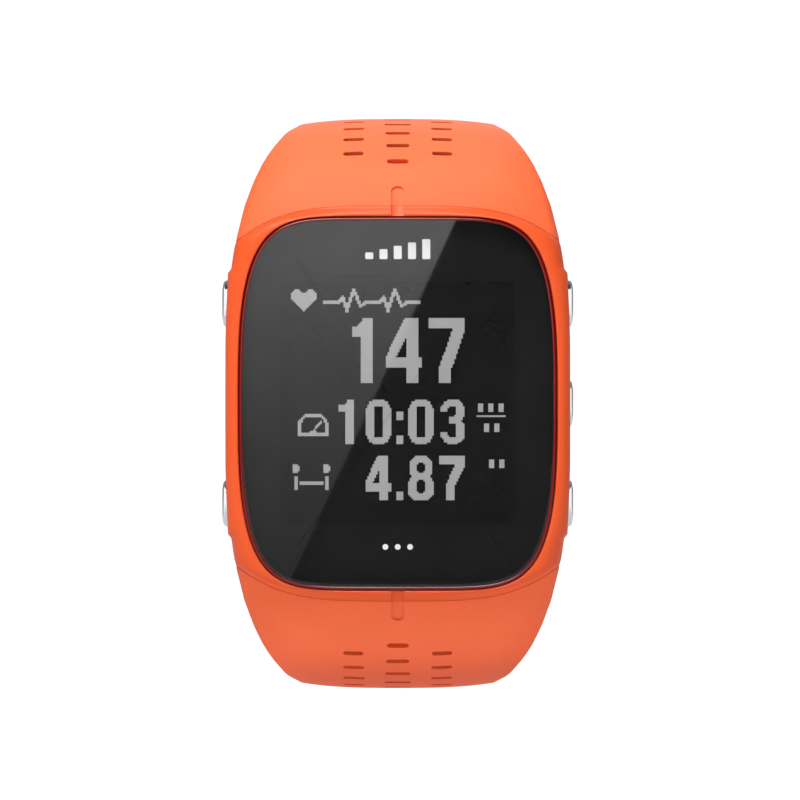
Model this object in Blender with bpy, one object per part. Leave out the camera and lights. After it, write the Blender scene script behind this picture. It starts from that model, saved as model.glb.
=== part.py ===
"""GPS running watch with two silicone straps, five side buttons and a tang buckle.

Lengths are millimetres and become metres when a mesh is made. The watch stands
upright: the lens faces -Y, 12 o'clock is +Z, the wearer's right is +X, and the
middle of the lens face is the origin. Depths behind the lens face are +Y.
"""

import math
from collections import namedtuple

import bmesh
import bpy

for old_object in list(bpy.data.objects):
    bpy.data.objects.remove(old_object, do_unlink=True)

MM = 0.001
SHARP_ANGLE = math.radians(35)

# ---- driving dimensions (mm) ------------------------------------------------
# The lens outline, at the accent ring, is a superellipse.
LENS_HALF_X, LENS_HALF_Z = 16.79, 19.68
LENS_POWER_X, LENS_POWER_Z = 6.0, 3.1
QUARTER = 12  # segments in a quarter of the case outlines
LENS_THICK = 1.3
RING_WIDTH = 0.42

# The frame outline: (x, z) up the side, then a curved seam where the strap meets it.
FRAME_SIDE = (
    (18.16, 0.0), (18.16, 3.2), (18.14, 6.5), (18.02, 10.5),
    (17.9, 13.95), (17.5, 14.25), (17.02, 17.15),
)
SEAM_Z, SEAM_DROP, SEAM_X, SEAM_POWER = 20.8, 3.6, 16.8, 3.8
FRAME_BACK = 8.6
BORE_INSET, BORE_FRONT = 0.55, 1.35
CHASSIS_INSET, CHASSIS_FRONT, CHASSIS_BACK = 0.69, 1.7, 8.8
DISPLAY_BAY_INSET, ELECTRONICS_BAY_INSET = 2.19, 2.9
SHELF_FRONT, SHELF_BACK = 2.9, 3.3
COVER_BACK = 11.0
SCREW_INSET = 2.6
CONTACTS = [(x, -12.4) for x in (-4.2, -1.4, 1.4, 4.2)]  # x, z

BUTTON_Y, BUTTON_FACE_X = 4.6, 18.48
BUTTON_LENGTH, BUTTON_HEIGHT = 4.9, 2.4  # along Z and along Y
BUTTON_CLEARANCE = 0.1
# Side (-1 is -X, 1 is +X) and z.
BUTTONS = {
    "light": (-1, 10.5),
    "back": (-1, -10.5),
    "up": (1, 10.5),
    "start": (1, 0.0),
    "down": (1, -10.5),
}

PIN_R = 0.75
PIN_HOLE_R = PIN_R + 0.12
HINGE_Y, HINGE_Z = 5.87, 23.80
LUG_HALF, LUG_R, LUG_ROOT_Z = 3.5, 1.5, 19.9


# ---- materials --------------------------------------------------------------
def material(name, colour, roughness, metallic=0.0):
    mat = bpy.data.materials.new(name)
    mat.use_nodes = True
    shader = mat.node_tree.nodes["Principled BSDF"]
    shader.inputs["Base Color"].default_value = (*colour, 1.0)
    shader.inputs["Metallic"].default_value = metallic
    shader.inputs["Roughness"].default_value = roughness
    mat.diffuse_color = (*colour, 1.0)
    return mat


ORANGE = (0.90, 0.12, 0.03)
case_orange = material("case_orange_polymer", ORANGE, roughness=0.45)
strap_orange = material("strap_orange_silicone", ORANGE, roughness=0.55)
keeper_orange = material("keeper_orange_silicone", ORANGE, roughness=0.6)
ring_red = material("ring_red_anodised", (0.32, 0.02, 0.03), roughness=0.35, metallic=0.9)
glass = material("lens_glass", (0.02, 0.02, 0.022), roughness=0.05)
rubber = material("gasket_rubber", (0.02, 0.02, 0.02), roughness=0.8)
lcd_dark = material("display_panel_dark", (0.015, 0.016, 0.018), roughness=0.3)
flex_amber = material("flex_polyimide", (0.45, 0.2, 0.03), roughness=0.4)
diffuser_white = material("frontlight_diffuser", (0.85, 0.85, 0.82), roughness=0.4)
chassis_black = material("chassis_polymer", (0.03, 0.03, 0.033), roughness=0.6)
board_green = material("board_green", (0.02, 0.16, 0.07), roughness=0.45)
chip_black = material("chip_epoxy", (0.015, 0.015, 0.015), roughness=0.5)
tin = material("shield_tin", (0.7, 0.7, 0.68), roughness=0.35, metallic=1.0)
ceramic = material("antenna_ceramic", (0.72, 0.66, 0.52), roughness=0.5)
battery_foil = material("battery_foil", (0.62, 0.63, 0.65), roughness=0.3, metallic=0.9)
motor_steel = material("motor_steel", (0.6, 0.6, 0.6), roughness=0.3, metallic=1.0)
tungsten = material("weight_tungsten", (0.3, 0.3, 0.31), roughness=0.45, metallic=1.0)
switch_black = material("switch_body", (0.05, 0.05, 0.05), roughness=0.4, metallic=0.2)
cover_black = material("back_cover_polymer", (0.035, 0.035, 0.04), roughness=0.5)
screw_steel = material("screw_steel", (0.45, 0.45, 0.46), roughness=0.3, metallic=1.0)
window_dark = material("sensor_window", (0.01, 0.012, 0.014), roughness=0.08)
led_green = material("led_green", (0.1, 0.8, 0.25), roughness=0.3)
diode_grey = material("photodiode_silicon", (0.07, 0.08, 0.1), roughness=0.2, metallic=0.3)
gold = material("contact_gold", (0.9, 0.65, 0.25), roughness=0.25, metallic=1.0)
button_steel = material(
    "button_polished_steel", (0.75, 0.75, 0.76), roughness=0.18, metallic=1.0
)
pin_steel = material("spring_bar_steel", (0.6, 0.6, 0.61), roughness=0.25, metallic=1.0)
buckle_steel = material(
    "buckle_brushed_steel", (0.62, 0.62, 0.63), roughness=0.32, metallic=1.0
)


# ---- meshes -----------------------------------------------------------------
def mesh_object(name, verts, faces, mat=None, origin=(0, 0, 0)):
    mesh = bpy.data.meshes.new(name)
    mesh.from_pydata([tuple((v[i] - origin[i]) * MM for i in range(3)) for v in verts], [], faces)
    bm = bmesh.new()
    bm.from_mesh(mesh)
    bmesh.ops.recalc_face_normals(bm, faces=bm.faces)
    bm.to_mesh(mesh)
    bm.free()
    ob = bpy.data.objects.new(name, mesh)
    ob.location = [c * MM for c in origin]
    bpy.context.scene.collection.objects.link(ob)
    if mat:
        mesh.materials.append(mat)
    mesh.shade_smooth()
    mesh.set_sharp_from_angle(angle=SHARP_ANGLE)
    return ob


def loft_faces(rings, closed=False):
    n, count = len(rings[0]), len(rings)
    faces = []
    for r in range(count if closed else count - 1):
        a, b = r * n, (r + 1) % count * n
        faces += [(a + i, a + (i + 1) % n, b + (i + 1) % n, b + i) for i in range(n)]
    if not closed:
        faces += [tuple(range(n)), tuple(range((count - 1) * n, count * n))]
    return faces


def loft(name, rings, mat, closed=False, origin=(0, 0, 0)):
    """A skin over rings of equal count: capped at both ends, or closed on itself like a tyre."""
    verts = [p for ring in rings for p in ring]
    return mesh_object(name, verts, loft_faces(rings, closed), mat, origin)


def boolean(target, name, solids, operation="DIFFERENCE"):
    """Cut or join capped lofts, held together in one hidden helper object."""
    verts, faces = [], []
    for rings in solids:
        faces += [tuple(i + len(verts) for i in face) for face in loft_faces(rings)]
        verts += [p for ring in rings for p in ring]
    helper = mesh_object(name, verts, faces)
    helper.hide_render = True
    helper.display_type = "WIRE"
    mod = target.modifiers.new(name, "BOOLEAN")
    mod.operation = operation
    mod.solver = "EXACT"
    mod.object = helper


def circle(radius, segments, axis, at, centre=(0.0, 0.0), turn=0.0):
    """A ring about X or Y; centre holds the other two coordinates, turn is in segments."""
    out = []
    for i in range(segments):
        a = 2 * math.pi * (i + turn) / segments
        u, v = centre[0] + radius * math.cos(a), centre[1] + radius * math.sin(a)
        out.append((at, u, v) if axis == "x" else (u, at, v))
    return out


def turned(profile, segments, axis, centre=(0.0, 0.0)):
    """Rings of a turned shape from (radius, place on the axis) pairs."""
    return [circle(radius, segments, axis, at, centre) for radius, at in profile]


def crossbar(radius, half_length, centre, segments=12, turn=0.0):
    """A cylinder along X, even about the middle of the watch; centre is (y, z)."""
    ends = (-half_length, half_length)
    return [circle(radius, segments, "x", x, centre, turn) for x in ends]


def box_rings(x0, x1, y0, y1, z0, z1):
    return [[(x, y0, z0), (x, y1, z0), (x, y1, z1), (x, y0, z1)] for x in (x0, x1)]


def plate(name, x0, x1, y0, y1, z0, z1, corner, mat):
    """A plate with its four corners cut off, seen along Y."""
    outline = [
        (x0 + corner, z0), (x1 - corner, z0), (x1, z0 + corner), (x1, z1 - corner),
        (x1 - corner, z1), (x0 + corner, z1), (x0, z1 - corner), (x0, z0 + corner),
    ]
    loft(name, [[(x, y, z) for x, z in outline] for y in (y0, y1)], mat)


def path_normals(path):
    """Unit normals at the points of an open path in a plane."""
    out = []
    for i in range(len(path)):
        (ua, va), (ub, vb) = path[max(i - 1, 0)], path[min(i + 1, len(path) - 1)]
        size = math.hypot(ub - ua, vb - va)
        out.append((-(vb - va) / size, (ub - ua) / size))
    return out


def ribbon(name, path, x0, x1, thick=0.2):
    """A bent flex strip: the path is (y, z) along its middle."""
    left, right = [], []
    for (y, z), (ny, nz) in zip(path, path_normals(path)):
        left.append((y + ny * thick / 2, z + nz * thick / 2))
        right.append((y - ny * thick / 2, z - nz * thick / 2))
    outline = left + right[::-1]
    loft(name, [[(x, y, z) for y, z in outline] for x in (x0, x1)], flex_amber)


# ---- case outlines ----------------------------------------------------------
def resample(points, count):
    """Points at equal steps of length along a polyline."""
    lengths = [0.0]
    for a, b in zip(points, points[1:]):
        lengths.append(lengths[-1] + math.dist(a, b))
    out, j = [], 0
    for k in range(count + 1):
        want = lengths[-1] * k / count
        while j < len(points) - 2 and lengths[j + 1] < want:
            j += 1
        f = (want - lengths[j]) / (lengths[j + 1] - lengths[j])
        out.append(tuple(a + (b - a) * f for a, b in zip(points[j], points[j + 1])))
    return out


def all_quarters(quarter):
    """(x, z) pairs of a quarter from +X to +Z, mirrored into a full turn."""
    rising, falling = quarter[:-1], quarter[:0:-1]
    return (
        rising
        + [(-x, z) for x, z in falling]
        + [(-x, -z) for x, z in rising]
        + [(x, -z) for x, z in falling]
    )


def lens_quarter():
    dense_steps = 3000
    dense = []
    for i in range(dense_steps + 1):
        t = math.pi / 2 * i / dense_steps
        x = LENS_HALF_X * max(math.cos(t), 0.0) ** (2 / LENS_POWER_X)
        dense.append((x, LENS_HALF_Z * math.sin(t) ** (2 / LENS_POWER_Z)))
    return resample(dense, QUARTER)


def lens_normal(x, z):
    gx = LENS_POWER_X / LENS_HALF_X * (x / LENS_HALF_X) ** (LENS_POWER_X - 1)
    gz = LENS_POWER_Z / LENS_HALF_Z * (z / LENS_HALF_Z) ** (LENS_POWER_Z - 1)
    size = math.hypot(gx, gz)
    return gx / size, gz / size


def frame_quarter():
    corner, steps = FRAME_SIDE[-1][0], 400
    dense = []
    for i in range(steps + 1):
        x = corner * (1 - i / steps)
        dense.append((x, SEAM_Z - SEAM_DROP * (x / SEAM_X) ** SEAM_POWER))
    return list(FRAME_SIDE) + resample(dense, QUARTER // 2)[1:]


LENS_QUARTER = lens_quarter()
LENS_POINTS = all_quarters(LENS_QUARTER)
LENS_NORMALS = all_quarters([lens_normal(x, z) for x, z in LENS_QUARTER])
FRAME_POINTS = all_quarters(frame_quarter())


def inset(depth, y, step=1):
    """The lens outline moved inwards by this much, at y behind the lens face."""
    line = list(zip(LENS_POINTS, LENS_NORMALS))[::step]
    return [(x - depth * u, y, z - depth * w) for (x, z), (u, w) in line]


def insets(profile, step=1):
    """Rings from (inset, y) pairs."""
    return [inset(depth, y, step) for depth, y in profile]


def toward_frame(share, y):
    """A ring this share of the way from the lens outline to the frame outline."""
    pairs = zip(LENS_POINTS, FRAME_POINTS)
    return [(x + (fx - x) * share, y, z + (fz - z) * share) for (x, z), (fx, fz) in pairs]


def round_ring(radius, y):
    """A circle whose points lie at the same angles as those of the lens outline."""
    out = []
    for x, z in LENS_POINTS:
        size = math.hypot(x, z)
        out.append((radius * x / size, y, radius * z / size))
    return out


def screw_places():
    """(x, z) of the four back screws, set in from the corners of the lens outline."""
    corner = QUARTER // 2 + 1
    x, z = (
        p - SCREW_INSET * n for p, n in zip(LENS_POINTS[corner], LENS_NORMALS[corner])
    )
    return [(sx * x, sz * z) for sx, sz in ((-1, 1), (1, 1), (1, -1), (-1, -1))]


SCREWS = screw_places()


# ---- case shell -------------------------------------------------------------
def lug_rings(side):
    """The arm that holds a spring bar: straight from the end wall, round at the bar."""
    profile = [(HINGE_Y - LUG_R, LUG_ROOT_Z), (HINGE_Y - LUG_R, HINGE_Z)]
    for i in range(1, 6):
        a = math.pi * i / 6
        profile.append((HINGE_Y - LUG_R * math.cos(a), HINGE_Z + LUG_R * math.sin(a)))
    profile += [(HINGE_Y + LUG_R, HINGE_Z), (HINGE_Y + LUG_R, LUG_ROOT_Z)]
    return [[(x, y, side * z) for y, z in profile] for x in (-LUG_HALF, LUG_HALF)]


def pill(x, z, shrink):
    """A button's upright stadium outline at x, made smaller all round by shrink."""
    radius = BUTTON_HEIGHT / 2 - shrink
    straight = (BUTTON_LENGTH - BUTTON_HEIGHT) / 2
    out = []
    for end in (1, -1):
        for i in range(7):
            a = math.pi * i / 6
            rise = straight + radius * math.sin(a)
            out.append((x, BUTTON_Y + end * radius * math.cos(a), z + end * rise))
    return out


def button_turned(profile, segments, side, z):
    """Rings about a button's axis from (radius, distance from the middle plane) pairs."""
    return turned([(r, side * x) for r, x in profile], segments, "x", (BUTTON_Y, z))


def build_frame():
    # Share of the way out to the frame outline, y.
    outside = (
        (0.07, 0.12), (0.5, 0.22), (0.86, 0.55), (1.0, 1.1),
        (1.0, 6.6), (0.62, 7.9), (0.2, FRAME_BACK),
    )
    bore = ((BORE_INSET, FRAME_BACK), (BORE_INSET, BORE_FRONT), (-0.08, BORE_FRONT))
    rings = [toward_frame(share, y) for share, y in outside] + insets(bore)
    frame = loft("bezel_frame", rings, case_orange, closed=True)
    boolean(frame, "cut_lug_solids", [lug_rings(1), lug_rings(-1)], "UNION")
    holes = [crossbar(PIN_HOLE_R, 5, (HINGE_Y, side * HINGE_Z)) for side in (1, -1)]
    boolean(frame, "cut_lug_holes", holes)
    wall = (14.9, 20.0)  # x range of the button windows
    windows = [[pill(s * x, z, -BUTTON_CLEARANCE) for x in wall] for s, z in BUTTONS.values()]
    boolean(frame, "cut_button_windows", windows)


# ---- lens, ring and display -------------------------------------------------
def build_lens():
    """Accent ring, crystal and gasket, from (inset, y) profiles."""
    inner = RING_WIDTH - 0.02
    ring = ((0.03, 0.2), (0.16, 0.05), (inner, 0.05), (inner, 1.2), (0.03, 1.2))
    loft("lens_accent_ring", insets(ring), ring_red, closed=True)
    rim = RING_WIDTH + 0.04
    crystal = ((0.62, 0.0), (rim, 0.16), (rim, LENS_THICK))
    loft("lens_crystal", insets(crystal), glass)
    gasket = ((1.0, 1.35), (1.0, 1.65), (1.9, 1.65), (1.9, 1.35))
    loft("lens_gasket", insets(gasket, step=2), rubber, closed=True)


# Name, x range, y range, z range, corner cut, material.
PLATES = (
    ("lcd_panel", -12.6, 12.6, 1.78, 2.75, -13.0, 13.0, 1.2, lcd_dark),
    ("frontlight_bar", -10.8, 10.8, 1.85, 2.6, 13.5, 14.7, 0.3, diffuser_white),
    ("main_board", -10.3, 10.3, 3.6, 4.2, -14.5, 13.2, 1.4, board_green),
    ("processor_chip", -7.2, -0.4, 4.25, 5.0, 1.5, 8.3, 0.3, chip_black),
    ("shield_can", 0.8, 9.0, 4.25, 5.1, -8.5, 0.5, 0.5, tin),
    ("gps_antenna", -6.0, 6.0, 3.6, 5.0, 13.7, 15.9, 0.3, ceramic),
)
# (y, z) along the middle of each strip.
LCD_FLEX_PATH = (
    (2.3, -13.2), (2.3, -15.1), (2.5, -15.5), (2.9, -15.65),
    (3.4, -15.65), (3.75, -15.5), (3.9, -15.1), (3.9, -14.75),
)
BATTERY_LEAD_PATH = (
    (6.8, -13.9), (6.8, -14.9), (6.5, -15.3), (5.0, -15.3), (4.6, -15.0), (4.45, -14.2),
)


# ---- chassis ----------------------------------------------------------------
def build_chassis():
    """A wall with a shelf across it, the display bay in front and electronics bay behind."""
    profile = (
        (DISPLAY_BAY_INSET, SHELF_FRONT),
        (DISPLAY_BAY_INSET, CHASSIS_FRONT),
        (CHASSIS_INSET, CHASSIS_FRONT),
        (CHASSIS_INSET, CHASSIS_BACK),
        (ELECTRONICS_BAY_INSET, CHASSIS_BACK),
        (ELECTRONICS_BAY_INSET, SHELF_BACK),
    )
    chassis = loft("inner_chassis", insets(profile), chassis_black)
    boss = ((1.3, 3.1), (1.3, CHASSIS_BACK))  # radius, y
    bosses = [turned(boss, 12, "y", c) for c in SCREWS]
    boolean(chassis, "cut_screw_bosses", bosses, "UNION")
    bore = ((0.56, 5.3), (0.56, 9.6))  # radius, y
    boolean(chassis, "cut_screw_bores", [turned(bore, 10, "y", c) for c in SCREWS])
    stem_bore = ((0.8, 12.6), (0.8, 14.5), (1.25, 14.5), (1.25, 17.5))  # radius, x
    stem_bores = [button_turned(stem_bore, 12, s, z) for s, z in BUTTONS.values()]
    boolean(chassis, "cut_stem_bores", stem_bores)
    boolean(chassis, "cut_flex_slot", [box_rings(-5.6, 5.6, 2.4, 3.8, -16.1, -14.9)])


# ---- electronics ------------------------------------------------------------
def build_battery():
    # Half width, y, lower z, upper z.
    stations = (
        (9.3, 5.45, -13.2, 11.5),
        (9.8, 5.9, -13.8, 12.1),
        (9.8, 7.9, -13.8, 12.1),
        (9.3, 8.4, -13.2, 11.5),
    )
    rings = [[(-w, y, z0), (w, y, z0), (w, y, z1), (-w, y, z1)] for w, y, z0, z1 in stations]
    loft("battery_cell", rings, battery_foil)
    ribbon("battery_lead", BATTERY_LEAD_PATH, 6.0, 8.6)


def build_motor():
    """A motor lying along X, with an off-centre weight on its shaft."""
    motor_y, motor_z = 7.0, 14.1
    body = ((1.45, -5.4), (1.45, 0.6), (0.3, 0.6), (0.3, 4.0))  # radius, x
    loft("vibration_motor", turned(body, 12, "x", (motor_y, motor_z)), motor_steel)

    weight_r, weight_x0, weight_x1 = 1.4, 1.0, 3.7
    angles = [math.radians(a) for a in range(-60, 181, 30)]  # the rest of the disc is missing
    rings = [
        [(x, motor_y + weight_r * math.cos(a), motor_z + weight_r * math.sin(a)) for a in angles]
        for x in (weight_x0, weight_x1)
    ]
    origin = ((weight_x0 + weight_x1) / 2, motor_y, motor_z)
    weight = loft("vibration_weight", rings, tungsten, origin=origin)
    bore = ((0.4, 0.0), (0.4, 5.0))  # radius, x
    boolean(weight, "cut_weight_bore", [turned(bore, 12, "x", (motor_y, motor_z))])


# ---- buttons ----------------------------------------------------------------
SWITCH_BODY = ((11.45, 1.0, 1.5), (12.9, 1.0, 1.5), (12.9, 0.4, 0.4), (13.25, 0.4, 0.4))
# SWITCH_BODY is x, half size along Y, half size along Z; SEAL and STEM are radius, x.
SEAL = ((0.74, 14.65), (0.74, 15.3), (1.15, 15.3), (1.15, 14.65))
STEM = ((0.65, 13.95), (0.65, 16.9))
BUTTON_HEAD = ((0.0, 16.9), (0.0, 18.05), (0.22, 18.38), (0.55, BUTTON_FACE_X))  # shrink, x


def build_button(name, side, z):
    """A button with its stem, the seal round the stem and the switch inboard of it."""
    corners = ((-1, -1), (1, -1), (1, 1), (-1, 1))
    body = [
        [(side * x, BUTTON_Y + dy * half_y, z + dz * half_z) for dy, dz in corners]
        for x, half_y, half_z in SWITCH_BODY
    ]
    loft(f"switch_{name}", body, switch_black)
    loft(f"seal_{name}", button_turned(SEAL, 12, side, z), rubber, closed=True)
    rings = button_turned(STEM, 14, side, z)
    rings += [pill(side * x, z, shrink) for shrink, x in BUTTON_HEAD]
    origin = (side * BUTTON_FACE_X, BUTTON_Y, z)
    loft(f"button_{name}", rings, button_steel, origin=origin)


def build_buttons():
    for name, side in (("left_switch_flex", -1), ("right_switch_flex", 1)):
        loft(name, box_rings(side * 11.1, side * 11.35, 3.5, 5.7, -12.4, 12.4), flex_amber)
    for name, (side, z) in BUTTONS.items():
        build_button(name, side, z)


# ---- back -------------------------------------------------------------------
def build_cover():
    # Stepped round opening for the sensor: radius, y.
    opening = ((9.6, 9.15), (9.6, 9.7), (7.4, 9.7), (7.4, 10.1), (8.8, 10.1), (8.8, COVER_BACK))
    # Outer side, from the back towards the front: inset, y.
    outside = ((3.9, COVER_BACK), (2.0, 10.75), (0.85, 10.0), (0.2, 8.75), (0.58, 8.75))
    rings = [inset(0.58, 9.15)] + [round_ring(r, y) for r, y in opening] + insets(outside)
    cover = loft("back_cover", rings, cover_black, closed=True)
    screw_bore = ((0.56, 8.4), (0.56, 10.2), (1.05, 10.2), (1.05, 11.6))  # radius, y
    contact_bore = ((0.68, 8.6), (0.68, 11.6))
    bores = [turned(screw_bore, 10, "y", c) for c in SCREWS]
    bores += [turned(contact_bore, 8, "y", c) for c in CONTACTS]
    boolean(cover, "cut_cover_bores", bores)


def build_cover_fittings():
    gasket = ((0.9, 8.86), (0.9, 9.08), (1.55, 9.08), (1.55, 8.86))  # inset, y
    loft("back_gasket", insets(gasket, step=2), rubber, closed=True)
    screw = ((0.45, 5.6), (0.45, 10.28), (0.95, 10.28), (0.95, 10.72))  # radius, y
    for i, c in enumerate(SCREWS, 1):
        loft(f"back_screw_{i}", turned(screw, 10, "y", c), screw_steel)
    contact = ((0.55, 9.4), (0.55, COVER_BACK))  # radius, y
    for i, c in enumerate(CONTACTS, 1):
        loft(f"charge_contact_{i}", turned(contact, 8, "y", c), gold)


def build_sensor():
    """Window, board, ring-shaped barrier, four LEDs and a photodiode, on the Y axis."""
    # Radius, y.
    window = ((8.5, 10.16), (8.5, 11.1), (7.8, 11.7), (6.3, 12.0))
    board = ((7.1, 8.95), (7.1, 9.42))
    barrier = ((2.7, 9.5), (2.7, 10.06), (3.4, 10.06), (3.4, 9.5))
    loft("sensor_window", turned(window, 24, "y"), window_dark)
    loft("sensor_board", turned(board, 16, "y"), board_green)
    loft("sensor_barrier", turned(barrier, 16, "y"), rubber, closed=True)
    led_circle_r, led_half, diode_half = 5.2, 0.7, 1.3
    chip_front = 9.5
    for i in range(4):
        a = math.radians(45 + 90 * i)
        x, z = led_circle_r * math.cos(a), led_circle_r * math.sin(a)
        x_range, z_range = (x - led_half, x + led_half), (z - led_half, z + led_half)
        loft(f"sensor_led_{i + 1}", box_rings(*x_range, chip_front, 9.9, *z_range), led_green)
    diode = box_rings(-diode_half, diode_half, chip_front, 9.85, -diode_half, diode_half)
    loft("photodiode", diode, diode_grey)


# ---- strap shape ------------------------------------------------------------
# The outer skin starts on an arc about (ROOT_CY, ROOT_CZ); an angle of 0 faces -Y, 90 faces +Z.
ROOT_ANGLE, ROOT_R, ROOT_CY, ROOT_CZ = 50.0, 20.0, 17.5, 9.95

# Arcs are (radius, turn in degrees) of each stretch. Side is 1 for +Z, -1 for -Z.
Strap = namedtuple("Strap", "tag side arcs length")


def make_strap_data(tag, side, arcs):
    length = sum(radius * math.radians(turn) for radius, turn in arcs)
    return Strap(tag, side, arcs, length)


UPPER = make_strap_data("upper", 1, ((20.0, 40.0), (27.0, 60.0), (44.0, 18.0)))
LOWER = make_strap_data(
    "lower", -1, ((20.0, 40.0), (36.0, 22.0), (62.0, 30.0), (110.0, 20.0))
)

# (distance along the strap, value) pairs: half width, thickness, and the depth
# of the crown on the outer face.
WIDTHS = (
    (0.0, 15.1), (3.49, 13.75), (6.98, 12.2), (10.47, 11.15),
    (13.96, 10.65), (22.0, 10.4), (40.0, 10.2), (200.0, 10.0),
)
THICKS = ((0.0, 4.0), (14.0, 3.3), (28.0, 2.7), (200.0, 2.6))
CROWNS = ((0.0, 2.2), (3.49, 1.6), (6.98, 1.0), (10.47, 0.5), (13.96, 0.3), (200.0, 0.25))

# Distances along at which sections are set; the end tables also give half widths.
ROOT_STATIONS = (0.0, 3.5, 7.0, 10.5, 14.0, 18.5, 23.0)
UPPER_STATIONS = ROOT_STATIONS + (27.5, 32.0, 36.5, 42.25, 47.0)
UPPER_END = ((52.0, 9.9), (UPPER.length, 9.5))
LOWER_STATIONS = ROOT_STATIONS + (27.8, 33.0, 39.0, 45.0, 51.0, 57.0, 64.0, 72.0, 80.0, 88.0)
LOWER_END = tuple(
    (LOWER.length - back_off, half)
    for back_off, half in ((4.5, 9.3), (2.4, 7.6), (0.8, 5.0), (0.0, 2.4))
)

SLOT_PITCH, SLOT_HEIGHT = 2.91, 0.75
CENTRE_SLOT_START, SIDE_SLOT_START = 0.35, 1.8
UPPER_CENTRE_SLOTS, LOWER_CENTRE_SLOTS, SIDE_SLOTS = 8, 27, 5
BLIND_CENTRE_SLOTS = 3  # the first few are shallow, the rest go right through
BLIND_DEPTH, THROUGH_DEPTH = 1.2, 6.0
SIDE_SLOT_OUTER_X = 5.75
CENTRE_SLOT_HALVES = ((0, 1.15), (9, 1.4))  # distance along, half width
SIDE_SLOT_HALVES = ((0, 1.05), (9, 1.15))


def strap_path(strap, along):
    """Where the outer skin is this far along, and its angle, before mirroring to a side."""
    angle = math.radians(ROOT_ANGLE)
    y, z = ROOT_CY - ROOT_R * math.cos(angle), ROOT_CZ + ROOT_R * math.sin(angle)
    for i, (radius, turn) in enumerate(strap.arcs):
        last = i == len(strap.arcs) - 1
        part = along if last else min(along, radius * math.radians(turn))
        cy, cz = y + radius * math.cos(angle), z - radius * math.sin(angle)
        angle += part / radius
        y, z = cy - radius * math.cos(angle), cz + radius * math.sin(angle)
        along -= part
        if along <= 0:
            break
    return y, z, angle


def strap_point(strap, along, x, depth, onward=0.0):
    """A point depth in from the outer skin, then moved straight onward along the tangent."""
    y, z, angle = strap_path(strap, along)
    y += depth * math.cos(angle) + onward * math.sin(angle)
    z += onward * math.cos(angle) - depth * math.sin(angle)
    return (x, y, strap.side * z)


def between(table, value):
    """Straight lines through (position, value) pairs, level after the last."""
    for (a, va), (b, vb) in zip(table, table[1:]):
        if value <= b:
            return va + (vb - va) * (value - a) / (b - a)
    return table[-1][1]


def strap_section(strap, along, half):
    """Crowned outer face, flat inner face and rounded edges."""
    thick, crown = between(THICKS, along), between(CROWNS, along)
    edge = crown + (thick - crown) * 0.3
    low = crown + (thick - crown) * 0.72
    # Share of the half width, depth.
    profile = [
        (0.0, 0.0), (0.45, crown * 0.09), (0.75, crown * 0.42), (0.94, crown + 0.06),
        (1.0, edge), (1.0, low), (0.94, thick), (0.45, thick),
    ]
    right = [(half * f, d) for f, d in profile]
    left = [(-half * f, d) for f, d in reversed(profile[1:])]
    return [strap_point(strap, along, x, d) for x, d in right + left]


def slot_rings(strap, along, x, half_width, depth):
    """A stadium lying across the strap, sunk along its normal."""
    r = SLOT_HEIGHT / 2
    angles = [math.radians(a) for a in (-90, -30, 30, 90)]
    outline = [(half_width - r + r * math.cos(a), r * math.sin(a)) for a in angles]
    outline += [(-u, -v) for u, v in outline]
    return [[strap_point(strap, along, x + u, d, v) for u, v in outline] for d in (-1.0, depth)]


def strap_slots(strap, centre_count):
    out = []
    for k in range(1, centre_count + 1):
        along = CENTRE_SLOT_START + SLOT_PITCH * k
        depth = THROUGH_DEPTH if k > BLIND_CENTRE_SLOTS else BLIND_DEPTH
        out.append(slot_rings(strap, along, 0.0, between(CENTRE_SLOT_HALVES, along), depth))
    for k in range(1, SIDE_SLOTS + 1):
        along = SIDE_SLOT_START + SLOT_PITCH * k
        half = between(SIDE_SLOT_HALVES, along)
        for side in (1, -1):
            x = side * (SIDE_SLOT_OUTER_X - half)
            out.append(slot_rings(strap, along, x, half, BLIND_DEPTH))
    return out


# ---- straps -----------------------------------------------------------------
BUCKLE_PIN_DEPTH = 1.36  # of the buckle pin's axis, in from the outer skin
BUCKLE_REACH = 9.6


def buckle_point(x, along, out):
    """A point on from the buckle pin along the strap, and out from the wrist."""
    return strap_point(UPPER, UPPER.length, x, BUCKLE_PIN_DEPTH - out, along)


BUCKLE_ORIGIN = buckle_point(0, 0, 0)
BUCKLE_PIN = BUCKLE_ORIGIN[1:]  # y, z


def cut_buckle_end(strap_object):
    """A loop round the buckle pin, notched in the middle for the tang."""
    loop = crossbar(1.3, 9.2, BUCKLE_PIN, turn=0.5)
    boolean(strap_object, "cut_upper_loop", [loop], "UNION")
    boolean(strap_object, "cut_tang_notch", [crossbar(2.1, 1.35, BUCKLE_PIN)])
    boolean(strap_object, "cut_upper_loop_bore", [crossbar(PIN_HOLE_R, 12, BUCKLE_PIN)])


def build_strap(strap, stations, end, centre_slots):
    hinge = (HINGE_Y, strap.side * HINGE_Z)
    tag = strap.tag
    widths = [(s, between(WIDTHS, s)) for s in stations] + list(end)
    rings = [strap_section(strap, s, half) for s, half in widths]
    ob = loft(f"{tag}_strap", rings, strap_orange, origin=(0, *hinge))
    knuckle = crossbar(1.42, 8.4, hinge, turn=0.5)
    boolean(ob, f"cut_{tag}_knuckle", [knuckle], "UNION")
    if strap is UPPER:
        cut_buckle_end(ob)
    notch = crossbar(2.35, LUG_HALF + 0.3, hinge, segments=14)
    boolean(ob, f"cut_{tag}_lug_notch", [notch])
    boolean(ob, f"cut_{tag}_bar_bore", [crossbar(PIN_HOLE_R, 8.9, hinge)])
    boolean(ob, f"cut_{tag}_slots", strap_slots(strap, centre_slots))
    loft(f"{tag}_strap_pin", crossbar(PIN_R, 8.2, hinge), pin_steel)


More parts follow.
